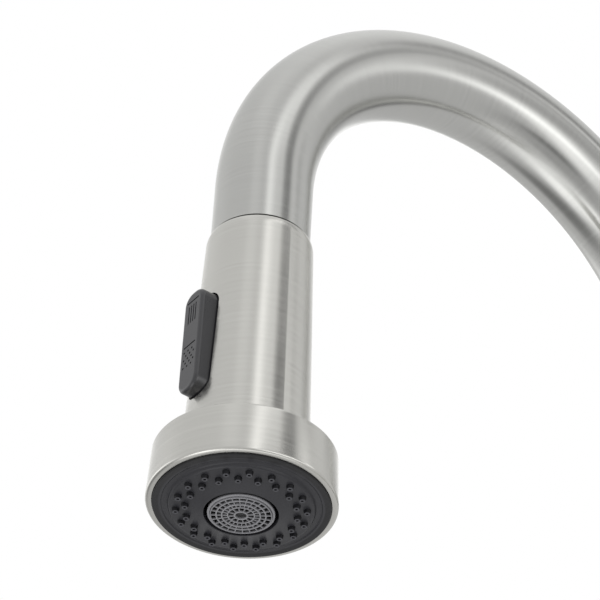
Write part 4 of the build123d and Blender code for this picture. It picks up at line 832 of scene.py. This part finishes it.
class FAUCET_OT_stage(bpy.types.Operator):
    """Set up the pale floor, the soft studio light and the camera of the photograph."""

    bl_idname = "faucet.stage"
    bl_label = "Studio"

    def execute(self, context):
        studio = context.scene.faucet_studio
        self.room(context, studio)
        self.floor(context, studio)
        self.lamps(context, studio)
        self.camera(context, studio)
        context.scene.view_settings.view_transform = "Standard"
        return {"FINISHED"}

    def room(self, context, studio):
        """A white room for the camera, an even one for matt surfaces, and panels for the metal to mirror."""
        world = bpy.data.worlds.new("studio")
        context.scene.world = world
        world.use_nodes = True
        tree = world.node_tree
        background = next(n for n in tree.nodes if n.type == "BACKGROUND")
        direction = node(tree, "ShaderNodeTexCoord").outputs["Generated"]
        split = node(tree, "ShaderNodeSeparateXYZ", {0: direction})
        azimuth = calc(tree, "DEGREES", calc(tree, "ARCTAN2", split.outputs[1], split.outputs[0]))
        elevation = calc(tree, "DEGREES", calc(tree, "ARCSINE", split.outputs[2]))
        total = ranged(tree, elevation, 20.0, 48.0, studio.metal, studio.metal + 0.1)
        total = calc(tree, "ADD", total, ranged(tree, elevation, 60.0, 85.0, 0.0, 0.12))
        total = calc(tree, "ADD", total, ranged(tree, elevation, -54.0, -76.0, 0.0, 0.55))
        # Each patch: its azimuth and elevation, its half width and half height, all in degrees, strength and turn
        patches = (
            ((99.0, -4.0), (6.0, 52.0), -0.5, -8.5),
            ((21.0, 40.5), (11.0, 6.5), -0.75, 0.0),
            ((42.0, 50.0), (20.0, 17.0), -0.44, 0.0),
            ((91.0, 40.0), (8.0, 4.0), -0.2, 0.0),
            ((115.0, 30.0), (8.0, 8.0), -0.15, 0.0),
            ((18.0, 50.5), (10.0, 4.0), 0.2, 0.0),
            ((-70.0, 63.0), (26.0, 8.0), 0.12, 0.0),
            ((-6.0, 67.0), (20.0, 6.0), -0.1, 0.0),
            ((20.0, 20.0), (14.0, 15.0), -0.16, 0.0),
            ((7.0, -17.5), (30.0, 13.0), 0.72, 34.0),
            ((0.0, -27.0), (26.0, 6.0), 0.16, 16.0),
            ((-52.0, 42.0), (13.0, 9.0), 0.12, 0.0),
            ((-118.0, -59.0), (52.0, 13.0), 0.66, 12.0),
            ((-88.0, -50.0), (20.0, 13.0), 0.75, 0.0),
            ((-162.0, -35.0), (42.0, 15.0), -0.38, 0.0),
            ((-10.0, -54.0), (62.0, 15.0), -0.17, 0.0),
            ((3.0, -46.0), (23.0, 6.0), -0.28, 0.0),
            ((0.0, -76.0), (60.0, 16.0), -0.45, 0.0),
            ((146.0, 31.5), (22.0, 7.0), 0.6, 0.0),
            ((120.0, 72.0), (60.0, 14.0), 0.12, 0.0),
            ((146.0, 42.0), (36.0, 20.0), 0.32, 0.0),
            ((-146.0, 14.0), (34.0, 14.0), 0.9, 0.0),
        )
        for centre, spread, strength, turn in patches:
            total = calc(tree, "ADD", total, lobe(tree, azimuth, elevation, centre, spread, strength, turn))
        total = calc(tree, "ADD", total, halo(tree, direction, (11.0, 20.0), 32.0, 5.6, 0.64))
        darkest = 0.03
        total = calc(tree, "MAXIMUM", total, darkest)
        path = node(tree, "ShaderNodeLightPath")
        matt = node(tree, "ShaderNodeMix", {0: path.outputs["Is Glossy Ray"], 2: studio.fill, 3: total})
        seen = node(tree, "ShaderNodeMix", {0: path.outputs["Is Camera Ray"], 2: matt.outputs[0], 3: 1.0})
        tree.links.new(seen.outputs[0], background.inputs["Strength"])
        background.inputs["Color"].default_value = (1.0, 1.0, 1.0, 1.0)

    def floor(self, context, studio):
        """A wide pale floor, seen from above only, with a faint mottle, that fades out into the white room."""
        half, solid_radius = 1.6, 0.25
        mesh = bpy.data.meshes.new("floor")
        mesh.from_pydata([(-half, -half, studio.floor), (half, -half, studio.floor), (half, half, studio.floor),
                          (-half, half, studio.floor)], [], [(0, 1, 2, 3)])
        ground = bpy.data.objects.new("floor", mesh)
        context.scene.collection.objects.link(ground)
        ground.visible_glossy = False
        matt, tree, shader = start_material("floor")
        where = place(tree, False)
        base = blended(tree, noise(tree, where, 5.0), (0.80, 0.80, 0.80), (0.84, 0.84, 0.84))
        fill_shader(tree, shader, Base_Color=base, Roughness=0.9)
        clear = node(tree, "ShaderNodeBsdfTransparent")
        faded = ranged(tree, spoke(tree, where), solid_radius, half, way="SMOOTHSTEP")
        hidden = calc(tree, "MAXIMUM", node(tree, "ShaderNodeNewGeometry").outputs["Backfacing"], faded)
        mix = node(tree, "ShaderNodeMixShader", {0: hidden, 1: shader.outputs[0], 2: clear.outputs[0]})
        output = next(n for n in tree.nodes if n.type == "OUTPUT_MATERIAL")
        tree.links.new(mix.outputs[0], output.inputs["Surface"])
        mesh.materials.append(matt)

    def lamps(self, context, studio):
        """A large soft lamp high on the left and a weaker one low on the right."""
        target = np.array([0.0, -0.08, 0.22])
        for label, spot, wide, power in (("key", (-0.35, -1.25, 1.05), 0.9, studio.key),
                                         ("low", (0.9, -0.9, -0.15), 0.8, 0.35 * studio.key)):
            lamp = bpy.data.lights.new(label, "AREA")
            lamp.size, lamp.energy = wide, power
            holder = bpy.data.objects.new(label, lamp)
            context.scene.collection.objects.link(holder)
            forward = target - np.array(spot)
            holder.matrix_world = stand(spot, forward, np.cross(forward, [0.0, 0.0, 1.0]))
            holder.visible_glossy = False

    def camera(self, context, studio):
        """The photograph's camera: below the head, looking up at it."""
        data = bpy.data.cameras.new("camera")
        data.lens, data.sensor_width, data.clip_end = studio.lens, 36.0, 20.0
        holder = bpy.data.objects.new("camera", data)
        context.scene.collection.objects.link(holder)
        holder.matrix_world = stand(studio.eye, CAMERA_FORWARD, CAMERA_RIGHT)
        context.scene.camera = holder


def stand(spot, forward, right):
    """The matrix of a camera or lamp at a spot, facing forward, with its X axis to the right."""
    forward, right = np.asarray(forward) / np.linalg.norm(forward), np.asarray(right) / np.linalg.norm(right)
    turn = np.eye(4)
    turn[:3, 0], turn[:3, 1], turn[:3, 2], turn[:3, 3] = right, np.cross(right, forward), -forward, spot
    return Matrix(turn.tolist())


class FAUCET_PT_panel(bpy.types.Panel):
    """The faucet's operators and settings in the sidebar."""

    bl_idname = "FAUCET_PT_panel"
    bl_label = "Pull-out faucet"
    bl_space_type = "VIEW_3D"
    bl_region_type = "UI"
    bl_category = "Faucet"

    def draw(self, context):
        for kind in OPERATORS:
            self.layout.operator(kind.bl_idname)
        for name, group in GROUPS.items():
            box = self.layout.box()
            for key in group.__annotations__:
                box.prop(getattr(context.scene, name), key)


GROUPS = {
    "faucet_spout": FaucetSpout,
    "faucet_head": FaucetHead,
    "faucet_base": FaucetBase,
    "faucet_looks": FaucetLooks,
    "faucet_studio": FaucetStudio,
}
OPERATORS = (
    FAUCET_OT_materials,
    FAUCET_OT_spout,
    FAUCET_OT_hose,
    FAUCET_OT_bell,
    FAUCET_OT_face,
    FAUCET_OT_nozzles,
    FAUCET_OT_aerator,
    FAUCET_OT_shank,
    FAUCET_OT_spring,
    FAUCET_OT_stage,
)


def register():
    """Register the classes and hang the settings on the scene."""
    for kind in (*GROUPS.values(), *OPERATORS, FAUCET_PT_panel):
        bpy.utils.register_class(kind)
    for name, group in GROUPS.items():
        setattr(bpy.types.Scene, name, PointerProperty(type=group))


def unregister():
    """Take the settings off the scene and unregister the classes."""
    for name in GROUPS:
        delattr(bpy.types.Scene, name)
    for kind in reversed((*GROUPS.values(), *OPERATORS, FAUCET_PT_panel)):
        bpy.utils.unregister_class(kind)


def main():
    """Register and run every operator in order."""
    register()
    for kind in OPERATORS:
        getattr(bpy.ops.faucet, kind.bl_idname.split(".")[1])()


if __name__ == "__main__":
    main()
